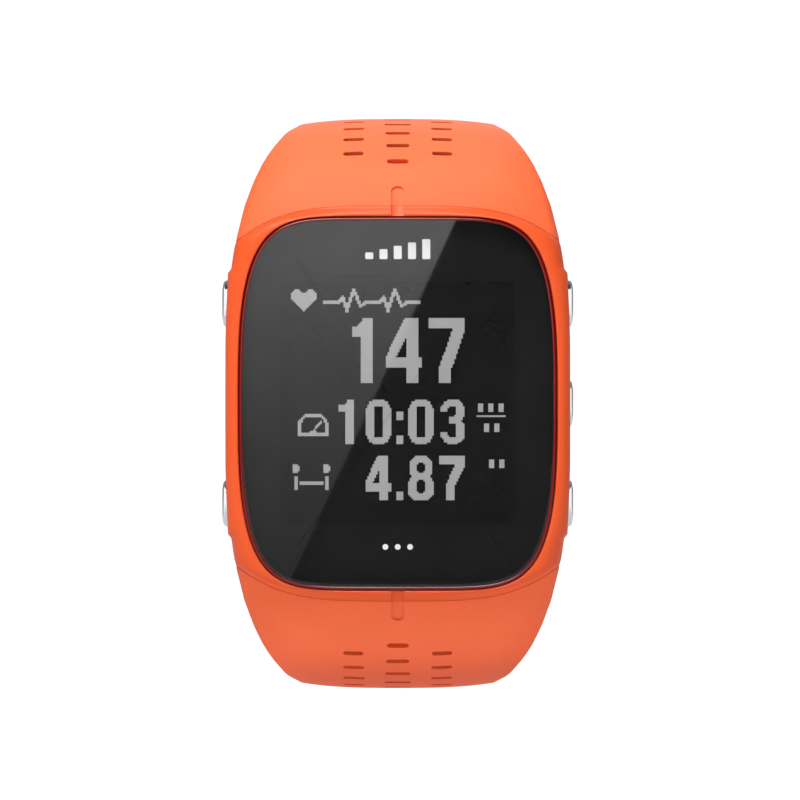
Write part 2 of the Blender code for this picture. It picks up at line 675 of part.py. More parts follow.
# ---- buckle -----------------------------------------------------------------
def bar_section(half_width, half_thick, flat_width, flat_thick):
    """An octagon; the flats are shares of the half sizes."""
    w, t = half_width * flat_width, half_thick * flat_thick
    return [
        (half_width, -t), (half_width, t), (w, half_thick), (-w, half_thick),
        (-half_width, t), (-half_width, -t), (-w, -half_thick), (w, -half_thick),
    ]


def build_buckle_frame():
    """A U of bar: up one arm from its eye, across and back."""
    # x, along, out, half width, half thickness.
    arm = [
        (-10.75, -1.5, 0.0, 0.75, 1.25),
        (-10.75, 1.2, 0.0, 0.75, 1.25),
        (-10.75, 6.2, 0.1, 0.85, 0.85),
        (-10.1, 8.4, 0.2, 0.85, 0.85),
        (-8.2, BUCKLE_REACH, 0.25, 0.85, 0.85),
    ]
    path = arm + [(-x, *rest) for x, *rest in reversed(arm)]
    normals = path_normals([(x, along) for x, along, *_ in path])
    rings = []
    for (x, along, out, half_width, half_thick), (nx, na) in zip(path, normals):
        section = bar_section(half_width, half_thick, flat_width=0.55, flat_thick=0.5)
        rings.append([buckle_point(x + nx * u, along + na * u, out + v) for u, v in section])
    buckle = loft("buckle_frame", rings, buckle_steel, origin=BUCKLE_ORIGIN)
    boolean(buckle, "cut_buckle_bore", [crossbar(PIN_HOLE_R, 13, BUCKLE_PIN)])


def build_buckle_tang():
    # Along, out, half width, half thickness.
    stations = (
        (-1.25, 0.0, 1.0, 1.2),
        (0.0, 0.0, 1.0, 1.28),
        (1.6, 0.35, 1.0, 0.95),
        (4.5, 1.0, 0.85, 0.55),
        (7.6, 1.62, 0.85, 0.5),
        (BUCKLE_REACH + 0.7, 1.72, 0.85, 0.4),
    )
    rings = []
    for along, out, half_width, half_thick in stations:
        section = bar_section(half_width, half_thick, flat_width=0.6, flat_thick=0.55)
        rings.append([buckle_point(u, along, out + v) for u, v in section])
    tang = loft("buckle_tang", rings, buckle_steel, origin=BUCKLE_ORIGIN)
    boolean(tang, "cut_tang_bore", [crossbar(PIN_HOLE_R, 3, BUCKLE_PIN)])


# ---- keeper -----------------------------------------------------------------
KEEPER_AT = UPPER.length - 9.5  # distance along the strap to its middle
KEEPER_CORNER_R = 0.8


def keeper_ring(half_x, inner, outer, onward):
    """A rounded rectangle around the strap; inner and outer are depths in from its skin."""
    r = KEEPER_CORNER_R
    # Corner centre (x, depth) and the angle its arc starts at.
    corners = (
        (half_x - r, outer + r, -90), (half_x - r, inner - r, 0),
        (-half_x + r, inner - r, 90), (-half_x + r, outer + r, 180),
    )
    ring = []
    for x, depth, start in corners:
        for a in (0, 45, 90):
            t = math.radians(start + a)
            corner = (x + r * math.cos(t), depth + r * math.sin(t))
            ring.append(strap_point(UPPER, KEEPER_AT, *corner, onward))
    return ring


def build_keeper():
    # Half width, inner depth, outer depth, onward.
    stations = (
        (10.85, 3.25, -3.0, -2.4),
        (12.15, 4.45, -4.2, -2.4),
        (12.15, 4.45, -4.2, 2.4),
        (10.85, 3.25, -3.0, 2.4),
    )
    rings = [keeper_ring(*station) for station in stations]
    origin = strap_point(UPPER, KEEPER_AT, 0, 0)
    loft("strap_keeper", rings, keeper_orange, closed=True, origin=origin)


# ---- assembly ---------------------------------------------------------------
build_frame()
build_lens()
for row in PLATES:
    plate(*row)
ribbon("lcd_flex_cable", LCD_FLEX_PATH, -5.0, 5.0)
build_chassis()
build_battery()
build_motor()
build_buttons()
build_cover()
build_cover_fittings()
build_sensor()
build_strap(UPPER, UPPER_STATIONS, UPPER_END, UPPER_CENTRE_SLOTS)
build_strap(LOWER, LOWER_STATIONS, LOWER_END, LOWER_CENTRE_SLOTS)
loft("buckle_pin", crossbar(PIN_R, 11.2, BUCKLE_PIN), pin_steel)
build_buckle_frame()
build_buckle_tang()
build_keeper()
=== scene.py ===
"""A sports watch: an orange case and strap, a red ring around the lens, and a dark display.

The lens faces -Y and the back +Y. +Z runs to the upper strap and +X is right as seen from
the front. The origin is at the middle of the lens front. Shapes are in mm and scaled by MM;
materials, lights and camera are in metres. In the names of sizes, "along" is a distance
along a strap from its root and "depth" a distance in from its outer skin.
"""

import math

import bmesh
import bpy
import numpy as np
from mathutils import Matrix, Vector


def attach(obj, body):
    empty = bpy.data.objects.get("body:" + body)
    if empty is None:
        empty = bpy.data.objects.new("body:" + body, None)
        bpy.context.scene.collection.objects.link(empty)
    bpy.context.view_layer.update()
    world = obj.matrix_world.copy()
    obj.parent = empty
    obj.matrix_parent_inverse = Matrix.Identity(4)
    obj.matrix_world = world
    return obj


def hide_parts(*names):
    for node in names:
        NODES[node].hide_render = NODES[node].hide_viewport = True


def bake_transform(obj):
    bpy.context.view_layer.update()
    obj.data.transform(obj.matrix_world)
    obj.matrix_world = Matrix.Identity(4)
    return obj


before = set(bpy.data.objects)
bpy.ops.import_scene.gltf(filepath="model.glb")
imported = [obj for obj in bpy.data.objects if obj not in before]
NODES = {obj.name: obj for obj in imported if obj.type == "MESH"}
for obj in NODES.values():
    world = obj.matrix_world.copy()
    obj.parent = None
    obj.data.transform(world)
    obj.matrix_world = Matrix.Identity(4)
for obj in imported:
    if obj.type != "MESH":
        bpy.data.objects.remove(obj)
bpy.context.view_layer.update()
SCENE = bpy.context.scene
MM = 0.001

# ---------------------------------------------------------------- measures (mm)
# The lens outline is a superellipse: half sizes, and the power of each axis.
LENS_HALF_X, LENS_HALF_Z = 16.79, 19.68
LENS_POWER_X, LENS_POWER_Z = 6.0, 3.1
LENS_RIM = 0.06  # y where the case's front starts beside the lens
CASE_SIDE_END = 6.3  # y where the case's sides turn in towards the back
SEAM_END = 17.02  # x where the seam of case and strap meets the case's side

# Both straps start on one arc around this axis, which runs along X.
ROOT_RADIUS, ROOT_Y, ROOT_Z = 20.0, 17.5, 9.95
# Arcs of the straps' side view: radius, turn in degrees.
UPPER_ARCS = ((ROOT_RADIUS, 70.0), (27.0, 60.0), (44.0, 18.0))
LOWER_ARCS = ((ROOT_RADIUS, 70.0), (36.0, 22.0), (62.0, 30.0), (110.0, 20.0))
START_DEG = 20.0  # the straps start inside the case, and are cut off at the seam
CREST = math.radians(90 - START_DEG) * ROOT_RADIUS  # along, where the strap is furthest out in Z
CREST_HALF = 11.1  # half width there
HINGE = math.radians(50.0 - START_DEG) * ROOT_RADIUS  # along, at the spring bar
HINGE_Y, HINGE_Z = 5.87, 23.80
SLOT_PITCH = 2.91
CHANNEL_HALF = 0.68
CHANNEL_END_DEG = 40.35  # where the channel's round end meets the strap's skin

BUTTON_Y = 4.6
BUTTON_PITCH = 10.5
BUTTON_HALF, BUTTON_RADIUS = 2.45, 1.2  # half length, radius of the ends
BUTTON_GAP = 0.09
BUTTONS = {  # side in X, z
    "light": (-1, BUTTON_PITCH),
    "back": (-1, -BUTTON_PITCH),
    "up": (1, BUTTON_PITCH),
    "start": (1, 0.0),
    "down": (1, -BUTTON_PITCH),
}

# Half of the case's front outline: z, half width.
SIDE_OUTLINE = [
    (0, 18.16), (6.5, 18.15), (9.0, 18.08), (10.5, 18.02), (12.0, 17.95), (13.3, 17.9),
    (13.85, 17.86), (14.2, 17.52), (14.89, 17.43), (15.74, 17.31), (16.58, 17.16), (17.15, 17.05),
]
# The straps' front outline: distance of z from the middle, half width.
STRAP_OUTLINE = [
    (15.0, 17.08), (17.42, 17.0), (18.26, 16.79), (19.1, 16.58), (19.95, 16.37), (20.79, 16.16),
    (21.63, 15.84), (22.47, 15.53), (23.3, 15.21), (24.16, 14.79), (25.0, 14.37), (25.84, 13.84),
    (26.68, 13.21), (27.5, 12.47), (28.4, 11.68), (29.2, 10.74), (29.6, 10.6),
]
# Degrees on the root arc, then the fall from the ridge to the strap's side.
CROWN = [
    (20, 3.0), (33, 3.0), (40, 2.7), (50, 2.2), (60, 1.65), (70, 1.2), (80, 0.9), (90, 0.75),
    (100, 0.6), (130, 0.4), (170, 0.3),
]
# Degrees on the root arc, then the radius of the strap's rounded side.
EDGE_RADIUS = [(20, 1.15), (33, 1.1), (60, 0.9), (75, 1.0), (90, 1.15), (120, 0.8)]
# Along, thickness.
THICKNESS = [
    (0, 6.2), (HINGE - 4, 5.2), (HINGE, 4.4), (HINGE + 6, 3.75), (HINGE + 14, 3.3),
    (HINGE + 28, 2.7), (300, 2.6),
]


def lerp(table, value):
    xs, ys = zip(*table)
    return float(np.interp(value, xs, ys))


def ease(low, high, value):
    """0 at low and 1 at high, with a smooth start and end."""
    share = min(max((value - low) / (high - low), 0.0), 1.0)
    return share * share * (3 - 2 * share)


def round_off(share):
    """Fall of a quarter circle of radius 1, at this share of its width."""
    return 1 - math.sqrt(max(1 - share**2, 0.0))


# ---------------------------------------------------------------- mesh helpers
def raw_object(name, verts, faces, mat=None, scale=MM):
    mesh = bpy.data.meshes.new(name)
    mesh.from_pydata([tuple(c * scale for c in vert) for vert in verts], [], faces)
    if mat:
        mesh.materials.append(mat)
    ob = bpy.data.objects.new(name, mesh)
    SCENE.collection.objects.link(ob)
    return ob


def soften(ob, angle):
    """Shades smooth, and keeps edges sharper than the angle (degrees)."""
    ob.data.shade_smooth()
    ob.data.set_sharp_from_angle(angle=math.radians(angle))


def new_object(name, verts, faces, mat=None, angle=35):
    ob = raw_object(name, verts, faces, mat)
    bm = bmesh.new()
    bm.from_mesh(ob.data)
    bmesh.ops.recalc_face_normals(bm, faces=bm.faces)
    bm.to_mesh(ob.data)
    bm.free()
    if angle:
        soften(ob, angle)
    return ob


def loft_faces(ring_total, size, closed):
    """Quads between rings of this size. An open loft gets a cap at each end."""
    faces = []
    for ring in range(ring_total if closed else ring_total - 1):
        here, there = ring * size, (ring + 1) % ring_total * size
        for i in range(size):
            j = (i + 1) % size
            faces.append((here + i, here + j, there + j, there + i))
    if not closed:
        faces += [tuple(range(size)), tuple(range((ring_total - 1) * size, ring_total * size))]
    return faces


def loft(name, rings, mat=None, closed=False, angle=35):
    faces = loft_faces(len(rings), len(rings[0]), closed)
    return new_object(name, [point for ring in rings for point in ring], faces, mat, angle)


def loose(name, pieces):
    """One flat-shaded object from several open lofts."""
    verts, faces = [], []
    for rings in pieces:
        first = len(verts)
        for face in loft_faces(len(rings), len(rings[0]), False):
            faces.append(tuple(i + first for i in face))
        verts += [point for ring in rings for point in ring]
    return new_object(name, verts, faces, angle=0)


def settle(ob):
    """Turns the modifiers into plain mesh."""
    graph = bpy.context.evaluated_depsgraph_get()
    graph.update()
    mesh = bpy.data.meshes.new_from_object(
        ob.evaluated_get(graph), preserve_all_data_layers=True, depsgraph=graph
    )
    ob.modifiers.clear()
    old = ob.data
    ob.data = mesh
    bpy.data.meshes.remove(old)


def cut(ob, cutter, keep=False, operation="DIFFERENCE"):
    mod = ob.modifiers.new("cut", "BOOLEAN")
    mod.operation, mod.solver, mod.object = operation, "EXACT", cutter
    settle(ob)
    if not keep:
        bpy.data.objects.remove(cutter)


def bevel(ob, width, angle=40):
    mod = ob.modifiers.new("bevel", "BEVEL")
    mod.width, mod.segments = width * MM, 2
    mod.limit_method, mod.angle_limit = "ANGLE", math.radians(angle)
    mod.harden_normals = True
    mod.use_clamp_overlap = True


def at_depth(outline, y):
    return [(x, y, z) for x, z in outline]


def prism(outline, front, back):
    return [at_depth(outline, y) for y in (front, back)]


def turned(profile, count, axis, centre=(0.0, 0.0)):
    """Circles around a line along X or Y. The profile is radius, place on that axis."""
    rings = []
    for radius, at in profile:
        ring = []
        for i in range(count):
            angle = 2 * math.pi * i / count
            first = centre[0] + radius * math.cos(angle)
            z = centre[1] + radius * math.sin(angle)
            ring.append((at, first, z) if axis == "x" else (first, at, z))
        rings.append(ring)
    return rings


def rod(radius, half_length, centre, count=40):
    """A round rod along X; its centre is y, z."""
    return turned([(radius, -half_length), (radius, half_length)], count, "x", centre)


def rounded_rect(half_x, half_z, radius, per_corner=8, centre_z=0.0):
    out = []
    for side_x, side_z, start in ((1, 1, 0), (-1, 1, 90), (-1, -1, 180), (1, -1, 270)):
        for i in range(per_corner):
            angle = math.radians(start + 90 * i / (per_corner - 1))
            x = side_x * (half_x - radius) + radius * math.cos(angle)
            z = centre_z + side_z * (half_z - radius) + radius * math.sin(angle)
            out.append((x, z))
    return out


def place(ob, body, *nodes, slot=None):
    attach(ob, body)
    if nodes:
        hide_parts(*nodes)


# ---------------------------------------------------------------- shader helpers
def set_inputs(tree, node, inputs):
    """Sets inputs by name or index. A socket, or a node's first output, is linked."""
    for key, value in inputs.items():
        if isinstance(value, bpy.types.Node):
            value = value.outputs[0]
        if isinstance(value, bpy.types.NodeSocket):
            tree.links.new(value, node.inputs[key])
        else:
            node.inputs[key].default_value = value


def add(tree, kind, inputs=None, **settings):
    node = tree.nodes.new("ShaderNode" + kind)
    for key, value in settings.items():
        setattr(node, key, value)
    set_inputs(tree, node, inputs or {})
    return node


def calc(tree, operation, *values):
    return add(tree, "Math", dict(enumerate(values)), operation=operation)


def map_range(tree, value, start, end, low=0.0, high=1.0, **settings):
    """Maps low..high to start..end."""
    inputs = {"Value": value, "From Min": low, "From Max": high, "To Min": start, "To Max": end}
    return add(tree, "MapRange", inputs, **settings)


def colour_ramp(tree, factor, dark, light, start=0.0, end=1.0):
    node = add(tree, "ValToRGB", {"Fac": factor})
    for stop, position, colour in zip(node.color_ramp.elements, (start, end), (dark, light)):
        stop.position, stop.color = position, (*colour, 1)
    return node


def blank(holder):
    """The empty node tree of a material or world."""
    holder.use_nodes = True
    holder.node_tree.nodes.clear()
    return holder.node_tree


# ---------------------------------------------------------------- materials
def surface(
    name, colour, rough, metal=0.0, vary=0.08, grain=2500.0, bump=0.02, spec=0.5,
    rough_vary=0.08, stretch=(1, 1, 1), coat=0.0, glow=0.0,
):
    """A moulded or machined surface: broad tone changes, fine grain in roughness and relief.

    Vary is the share of tone change, grain the scale of the fine noise, bump its relief in mm.
    """
    mat = bpy.data.materials.new(name)
    mat.use_nodes = True
    tree = mat.node_tree
    coord = add(tree, "TexCoord").outputs["Object"]
    mapping = add(tree, "Mapping", {"Vector": coord, "Scale": stretch})
    broad = add(tree, "TexNoise", {"Vector": coord, "Scale": 120.0, "Detail": 3})
    fine = add(tree, "TexNoise", {"Vector": mapping, "Scale": grain, "Detail": 4})
    dark = [c * (1 - vary) for c in colour]
    light = [min(c * (1 + vary), 1.0) for c in colour]
    tone = colour_ramp(tree, broad, dark, light, start=0.3, end=0.7)
    lowest, highest = max(rough - rough_vary, 0.01), min(rough + rough_vary, 1.0)
    inputs = {
        "Base Color": tone,
        "Roughness": map_range(tree, fine, start=lowest, end=highest),
        "Metallic": metal,
        "Specular IOR Level": spec,
        "IOR": 1.5,
        "Coat Weight": coat,
    }
    if bump:
        relief = {"Strength": 0.6, "Distance": bump * MM, "Height": fine}
        inputs["Normal"] = add(tree, "Bump", relief)
    # Any glow is painted light: the surface shines in its own tone though it is no lamp.
    if glow:
        inputs |= {"Emission Color": tone, "Emission Strength": glow}
    set_inputs(tree, tree.nodes["Principled BSDF"], inputs)
    return mat


def paint_strap_shade(mat, colour):
    """Painted shade: the silicone's colour is mixed to a deeper tone where it meets the case and along
    its wide flanks, standing in for the shade that falls there.
    """
    tree = mat.node_tree
    principled = tree.nodes["Principled BSDF"]
    plain = principled.inputs["Base Color"].links[0].from_socket
    split = add(tree, "SeparateXYZ", {"Vector": add(tree, "TexCoord").outputs["Object"]})

    def fade(axis, low, high, start=1.0, end=0.0):
        size = calc(tree, "ABSOLUTE", split.outputs[axis])
        return map_range(tree, size, start, end, low, high, interpolation_type="SMOOTHSTEP")

    # Painted shade: a mask that is high near the case seam and on the flanks, mixing towards the
    # deeper colour.
    root = calc(tree, "MULTIPLY", fade("Z", low=0.0198, high=0.0248), fade("Y", low=0.008, high=0.014))
    flank = fade("X", low=0.0095, high=0.0155, start=0.0, end=1.0)
    share = calc(tree, "MAXIMUM", root, flank)
    # Inputs of a colour mix: 0 is the factor, 6 and 7 the colours. Output 2 is the colour.
    mix = add(tree, "Mix", {0: share, 6: plain, 7: (*colour, 1)}, data_type="RGBA")
    set_inputs(tree, principled, {"Base Color": mix.outputs[2]})


def clear_cover(name, tint, mirror_rough, through, ior=1.5):
    """Flat glass: what is under it shows through, and a mirror layer lies over it."""
    mat = bpy.data.materials.new(name)
    tree = blank(mat)
    noise = add(tree, "TexNoise", {"Vector": add(tree, "TexCoord").outputs["Object"], "Scale": 260.0})
    light = [c * through for c in tint]
    tone = colour_ramp(tree, noise, [c * through * 0.97 for c in tint], light)
    rough = map_range(tree, noise, start=mirror_rough, end=mirror_rough * 1.6)
    # Only the outer side of a face mirrors: from inside, light passes straight out.
    front = calc(tree, "SUBTRACT", 1.0, add(tree, "NewGeometry").outputs["Backfacing"])
    share = calc(tree, "MULTIPLY", add(tree, "Fresnel", {"IOR": ior}), front)
    clear = add(tree, "BsdfTransparent", {"Color": tone})
    gloss = add(tree, "BsdfGlossy", {"Roughness": rough})
    cover = add(tree, "MixShader", {"Fac": share, 1: clear, 2: gloss})
    add(tree, "OutputMaterial", {"Surface": cover})
    return mat


mat_case = surface(
    "case_polymer", (0.68, 0.0815, 0.017), rough=0.42, vary=0.02, grain=4200, bump=0.006,
    rough_vary=0.05, spec=0.2,
)
mat_strap = surface(
    "strap_silicone", (0.8, 0.136, 0.047), rough=0.62, vary=0.025, grain=5200, bump=0.01,
    rough_vary=0.06, spec=0.25,
)
# Painted shade: the strap's root and flanks get a deeper colour than the rest of the silicone.
paint_strap_shade(mat_strap, (0.77, 0.114, 0.033))
mat_ring = surface(
    "ring_anodised", (0.17, 0.0035, 0.0045), rough=0.12, vary=0.06, grain=3000, bump=0.0,
    rough_vary=0.02,
)
mat_lens = clear_cover("lens_mineral_glass", (1.0, 1.0, 1.0), mirror_rough=0.012, through=0.93)
# The print and the cells are bonded under the glass, so the gloss seen in the lens is theirs.
bonded = {"rough": 0.03, "bump": 0.0, "rough_vary": 0.008}
mat_mask = surface("lens_back_print", (0.0178, 0.0178, 0.018), vary=0.1, grain=900, **bonded)
bonded["grain"] = 5600
mat_cell = surface("display_dark_cells", (0.0148, 0.0148, 0.015), vary=0.12, **bonded)
# Painted light: the figure and mark cells glow with an emission of 0.3, though no lamp in the display
# lights them.
mat_digit, mat_icon = [
    surface(name, (0.34, 0.34, 0.342), vary=0.03, glow=0.3, **bonded)
    for name in ("display_figure_cells_painted_glow", "display_mark_cells_painted_glow")
]
# Painted light: the print glows with an emission of 0.3, though no lamp lights it.
mat_print = surface(
    "printed_mark_painted_glow", (0.62, 0.62, 0.63), rough=0.6, vary=0.03, grain=4000, bump=0.0, spec=0.1,
    glow=0.3,
)
mat_button = surface(
    "button_polished", (0.82, 0.82, 0.84), rough=0.14, metal=1.0, vary=0.03, grain=2600,
    bump=0.001, rough_vary=0.04,
)
mat_rubber = surface("seal_rubber", (0.02, 0.02, 0.021), rough=0.8, vary=0.2, grain=2600)
mat_black = surface("back_polymer", (0.028, 0.028, 0.031), rough=0.5, vary=0.12, grain=3600)
mat_steel = surface(
    "turned_steel", (0.56, 0.56, 0.57), rough=0.3, metal=1.0, vary=0.05, grain=1500, bump=0.0,
    rough_vary=0.04, stretch=(0.2, 1, 1),
)
mat_brushed = surface(
    "brushed_steel", (0.6, 0.6, 0.61), rough=0.34, metal=1.0, vary=0.05, grain=1600, bump=0.0,
    rough_vary=0.05, stretch=(0.05, 1, 1),
)
mat_gold = surface(
    "contact_gold", (0.95, 0.66, 0.24), rough=0.22, metal=1.0, vary=0.06, grain=1600, bump=0.002
)
mat_window = clear_cover(
    "sensor_window_tint", (0.42, 0.46, 0.5), mirror_rough=0.03, through=0.9, ior=1.55
)
mat_led = surface(
    "led_lens_green", (0.05, 0.55, 0.16), rough=0.25, vary=0.2, grain=900, bump=0.002, coat=0.6
)
mat_board = surface(
    "board_mask_green", (0.015, 0.12, 0.055), rough=0.4, vary=0.2, grain=1100, bump=0.01, coat=0.3
)
mat_chip = surface("chip_epoxy", (0.018, 0.018, 0.019), rough=0.55, vary=0.2, bump=0.01)
mat_tin = surface("shield_tin", (0.68, 0.68, 0.66), rough=0.35, metal=1.0, grain=900, bump=0.004)
mat_ceramic = surface("antenna_ceramic", (0.7, 0.63, 0.5), rough=0.5, grain=1800, bump=0.006)
mat_foil = surface(
    "battery_foil", (0.62, 0.63, 0.65), rough=0.3, metal=0.9, vary=0.06, grain=700, bump=0.01
)
mat_flex = surface(
    "flex_polyimide", (0.42, 0.17, 0.025), rough=0.35, vary=0.15, grain=900, bump=0.004
)
mat_white = surface(
    "diffuser_white", (0.82, 0.82, 0.8), rough=0.4, vary=0.04, grain=900, bump=0.004
)
mat_diode = surface(
    "photodiode_silicon", (0.05, 0.06, 0.09), rough=0.15, metal=0.4, vary=0.2, grain=900, bump=0.0
)
mat_tungsten = surface(
    "weight_tungsten", (0.3, 0.3, 0.31), rough=0.42, metal=1.0, vary=0.1, grain=1500, bump=0.01
)


# ---------------------------------------------------------------- case outlines
QUARTER = 60  # steps in a quarter of every outline


def resample(points, count):
    """Evenly spaced points along a line, count steps."""
    points = np.array(points, float)
    steps = np.linalg.norm(np.diff(points, axis=0), axis=1)
    steps = np.concatenate([[0], np.cumsum(steps)])
    want = np.linspace(0, steps[-1], count + 1)
    return np.stack([np.interp(want, steps, column) for column in points.T], 1)


def full_turn(values):
    """A list over a quarter, mirrored into a full turn."""
    there, back = values[:-1], values[1:][::-1]
    return there + back + there + back


def quarters(quarter):
    """A quarter from +X to +Z, mirrored into a full turn. Columns are pairs of x and z."""
    def flip(rows, sign_x, sign_z):
        return rows * np.array([sign_x, sign_z] * (rows.shape[1] // 2))

    there, back = quarter[:-1], quarter[1:][::-1]
    return np.concatenate([there, flip(back, -1, 1), flip(there, -1, -1), flip(back, 1, -1)])


def lens_quarter(count):
    """A quarter of the lens outline. Columns are x, z, and the outward normal's x, z."""
    angle = np.linspace(0, math.pi / 2, 6001)
    x = LENS_HALF_X * np.maximum(np.cos(angle), 0) ** (2 / LENS_POWER_X)
    z = LENS_HALF_Z * np.sin(angle) ** (2 / LENS_POWER_Z)
    points = resample(np.stack([x, z], 1), count)
    slope_x = LENS_POWER_X / LENS_HALF_X * (points[:, 0] / LENS_HALF_X) ** (LENS_POWER_X - 1)
    slope_z = LENS_POWER_Z / LENS_HALF_Z * (points[:, 1] / LENS_HALF_Z) ** (LENS_POWER_Z - 1)
    normals = np.stack([slope_x, slope_z], 1)
    normals /= np.linalg.norm(normals, axis=1)[:, None]
    return np.concatenate([points, normals], 1)


LENS = quarters(lens_quarter(QUARTER))


def inset(depth, y):
    """The lens outline moved inwards."""
    return [(x - depth * out_x, y, z - depth * out_z) for x, z, out_x, out_z in LENS]


def seam_z(x):
    return 20.8 - 3.6 * (abs(x) / 16.8) ** 3.8


side_line = [(lerp(SIDE_OUTLINE, z), z) for z in np.linspace(0, seam_z(SEAM_END), 400)]
side_line = resample(side_line, QUARTER // 2)
side_line[-1] = (SEAM_END, seam_z(SEAM_END))
seam_line = resample([(x, seam_z(x)) for x in np.linspace(SEAM_END, 0, 600)], QUARTER // 2)
FRAME_QUARTER = np.concatenate([side_line, seam_line[1:]])
FRAME = quarters(FRAME_QUARTER)


# ---------------------------------------------------------------- strap skin
def strap_width(theta):
    """Half width of the strap at this many degrees on the root arc."""
    reach = ROOT_RADIUS - lerp(CROWN, theta) - 0.75 * lerp(EDGE_RADIUS, theta)
    half = lerp(STRAP_OUTLINE, ROOT_Z + reach * math.sin(math.radians(theta)))
    return half + (CREST_HALF - half) * ease(76, 90, theta)


def skin_depth(x, theta, half=None):
    """How far the skin lies under its own ridge at this x: the crown, then the rounded edge."""
    half = half or strap_width(theta)
    radius = lerp(EDGE_RADIUS, theta)
    into = min(max(abs(x) - (half - radius), 0.0), radius)
    fall = lerp(CROWN, theta) * min(abs(x) / half, 1.0) ** 3
    return fall + radius - math.sqrt(max(radius * radius - into**2, 0.0))


def skin_y(x, z):
    """y of the strap's skin, carried on over the case, at this place in the front view."""
    theta = 30.0
    for _ in range(12):
        rise = (abs(z) - ROOT_Z) / (ROOT_RADIUS - skin_depth(x, theta))
        theta = math.degrees(math.asin(min(max(rise, -0.2), 0.999)))
    return ROOT_Y - (ROOT_RADIUS - skin_depth(x, theta)) * math.cos(math.radians(theta))


# ---------------------------------------------------------------- case frame
def front_edge(index):
    """y of the frame's outer front edge at this step of a quarter."""
    x, z = FRAME_QUARTER[index]
    inner_end = SEAM_END - 0.02
    if index >= QUARTER // 2:
        return skin_y(min(x, inner_end), z)
    end = skin_y(inner_end, seam_z(SEAM_END))
    return 1.75 + (end - 1.75) * ease(9.0, 17.15, z) ** 1.5


EDGE = full_turn([front_edge(k) for k in range(QUARTER + 1)])
# 0 at the case's sides, 1 at its strap ends.
ENDNESS = full_turn([ease(QUARTER * 0.56, QUARTER * 0.8, k) for k in range(QUARTER + 1)])


def frame_outline(share):
    """Outline from just outside the lens (share 0) to the frame's own outline (share 1)."""
    points = []
    for (x, z, out_x, out_z), (frame_x, frame_z) in zip(LENS, FRAME):
        x, z = x + 0.1 * out_x, z + 0.1 * out_z
        points.append((x + (frame_x - x) * share, z + (frame_z - z) * share))
    return points


def front_ring(share, lower=0.0):
    """The front face: rounded at the sides, following the strap's skin at the ends."""
    ring = []
    for (x, z), edge, endness in zip(frame_outline(share), EDGE, ENDNESS):
        y = LENS_RIM + (edge - LENS_RIM) * (1 - (1 - share**2.3) ** (1 / 2.1))
        if endness > 0:
            skin = max(skin_y(x, z), LENS_RIM)
            if skin < edge * 0.98:
                skin = LENS_RIM + (skin - LENS_RIM) * ease(-0.2, 0.9, share)
            y += (skin - y) * endness
        ring.append((x, y + lower, z))
    return ring


FRONT_SHARES = (
    0.06, 0.12, 0.2, 0.28, 0.36, 0.44, 0.52, 0.6, 0.68, 0.75, 0.81, 0.86, 0.9, 0.935, 0.96,
    0.98, 0.993, 1.0,
)
# Inset from the lens outline, y: the opening that holds the lens, from back to front.
seat = ((0.55, 8.55), (0.55, 1.36), (-0.06, 1.36), (-0.06, 0.3), (-0.07, 0.13))
rings = [inset(depth, y) for depth, y in seat]
rings.append(front_ring(0.02, lower=0.02))
rings += [front_ring(share) for share in FRONT_SHARES]
for share in (0.15, 0.4, 0.7, 1.0):
    sides = zip(frame_outline(1.0), EDGE)
    rings.append([(x, edge + (CASE_SIDE_END - edge) * share, z) for (x, z), edge in sides])
# Share of the way out from the lens, y: the turn to the back.
case_back = (
    (0.985, 6.8), (0.93, 7.25), (0.82, 7.75), (0.66, 8.2), (0.48, 8.48), (0.3, 8.6), (0.1, 8.62)
)
rings += [at_depth(frame_outline(share), y) for share, y in case_back]
case = loft("case_frame", rings, mat_case, closed=True, angle=40)


def pill(x, z, half_length, radius, steps=14):
    """A pill outline across X, long in Z, at the buttons' height."""
    out = []
    for end in (1, -1):
        for i in range(steps + 1):
            angle = math.pi * i / steps
            reach = half_length - radius + radius * math.sin(angle)
            out.append((x, BUTTON_Y + end * radius * math.cos(angle), z + end * reach))
    return out


windows = [
    [pill(side * x, z, BUTTON_HALF + BUTTON_GAP, BUTTON_RADIUS + BUTTON_GAP) for x in (14.8, 20.5)]
    for side, z in BUTTONS.values()
]
cut(case, loose("cut_windows", windows))


def channel(side):
    """The shallow channel down the middle of case and strap, round at its strap end."""
    rings = []
    start, stop = 25.0, CHANNEL_END_DEG - math.degrees(CHANNEL_HALF / ROOT_RADIUS)
    for k in range(34):
        if k < 20:
            theta, half = start + (stop - start) * k / 20, CHANNEL_HALF
        else:
            turn = (k - 20) / 13 * math.pi / 2
            theta = stop + math.degrees(CHANNEL_HALF * math.sin(turn) / ROOT_RADIUS)
            half = max(CHANNEL_HALF * math.cos(turn), 0.02)
        right = [(half, -1.2), (half, 0.2), (half * 0.8, 0.26)]
        section = [(-half, -1.2), *right, (-half * 0.8, 0.26), (-half, 0.2)]
        angle = math.radians(theta)
        ring = []
        for x, depth in section:
            radius = ROOT_RADIUS - depth
            z = ROOT_Z + radius * math.sin(angle)
            ring.append((x, ROOT_Y - radius * math.cos(angle), side * z))
        rings.append(ring)
    return rings


channels = loose("cut_channels", [channel(1), channel(-1)])
cut(case, channels, keep=True)
soften(case, 38)
bevel(case, 0.025, angle=50)
place(case, "case", "bezel_frame", slot="case_orange_polymer")


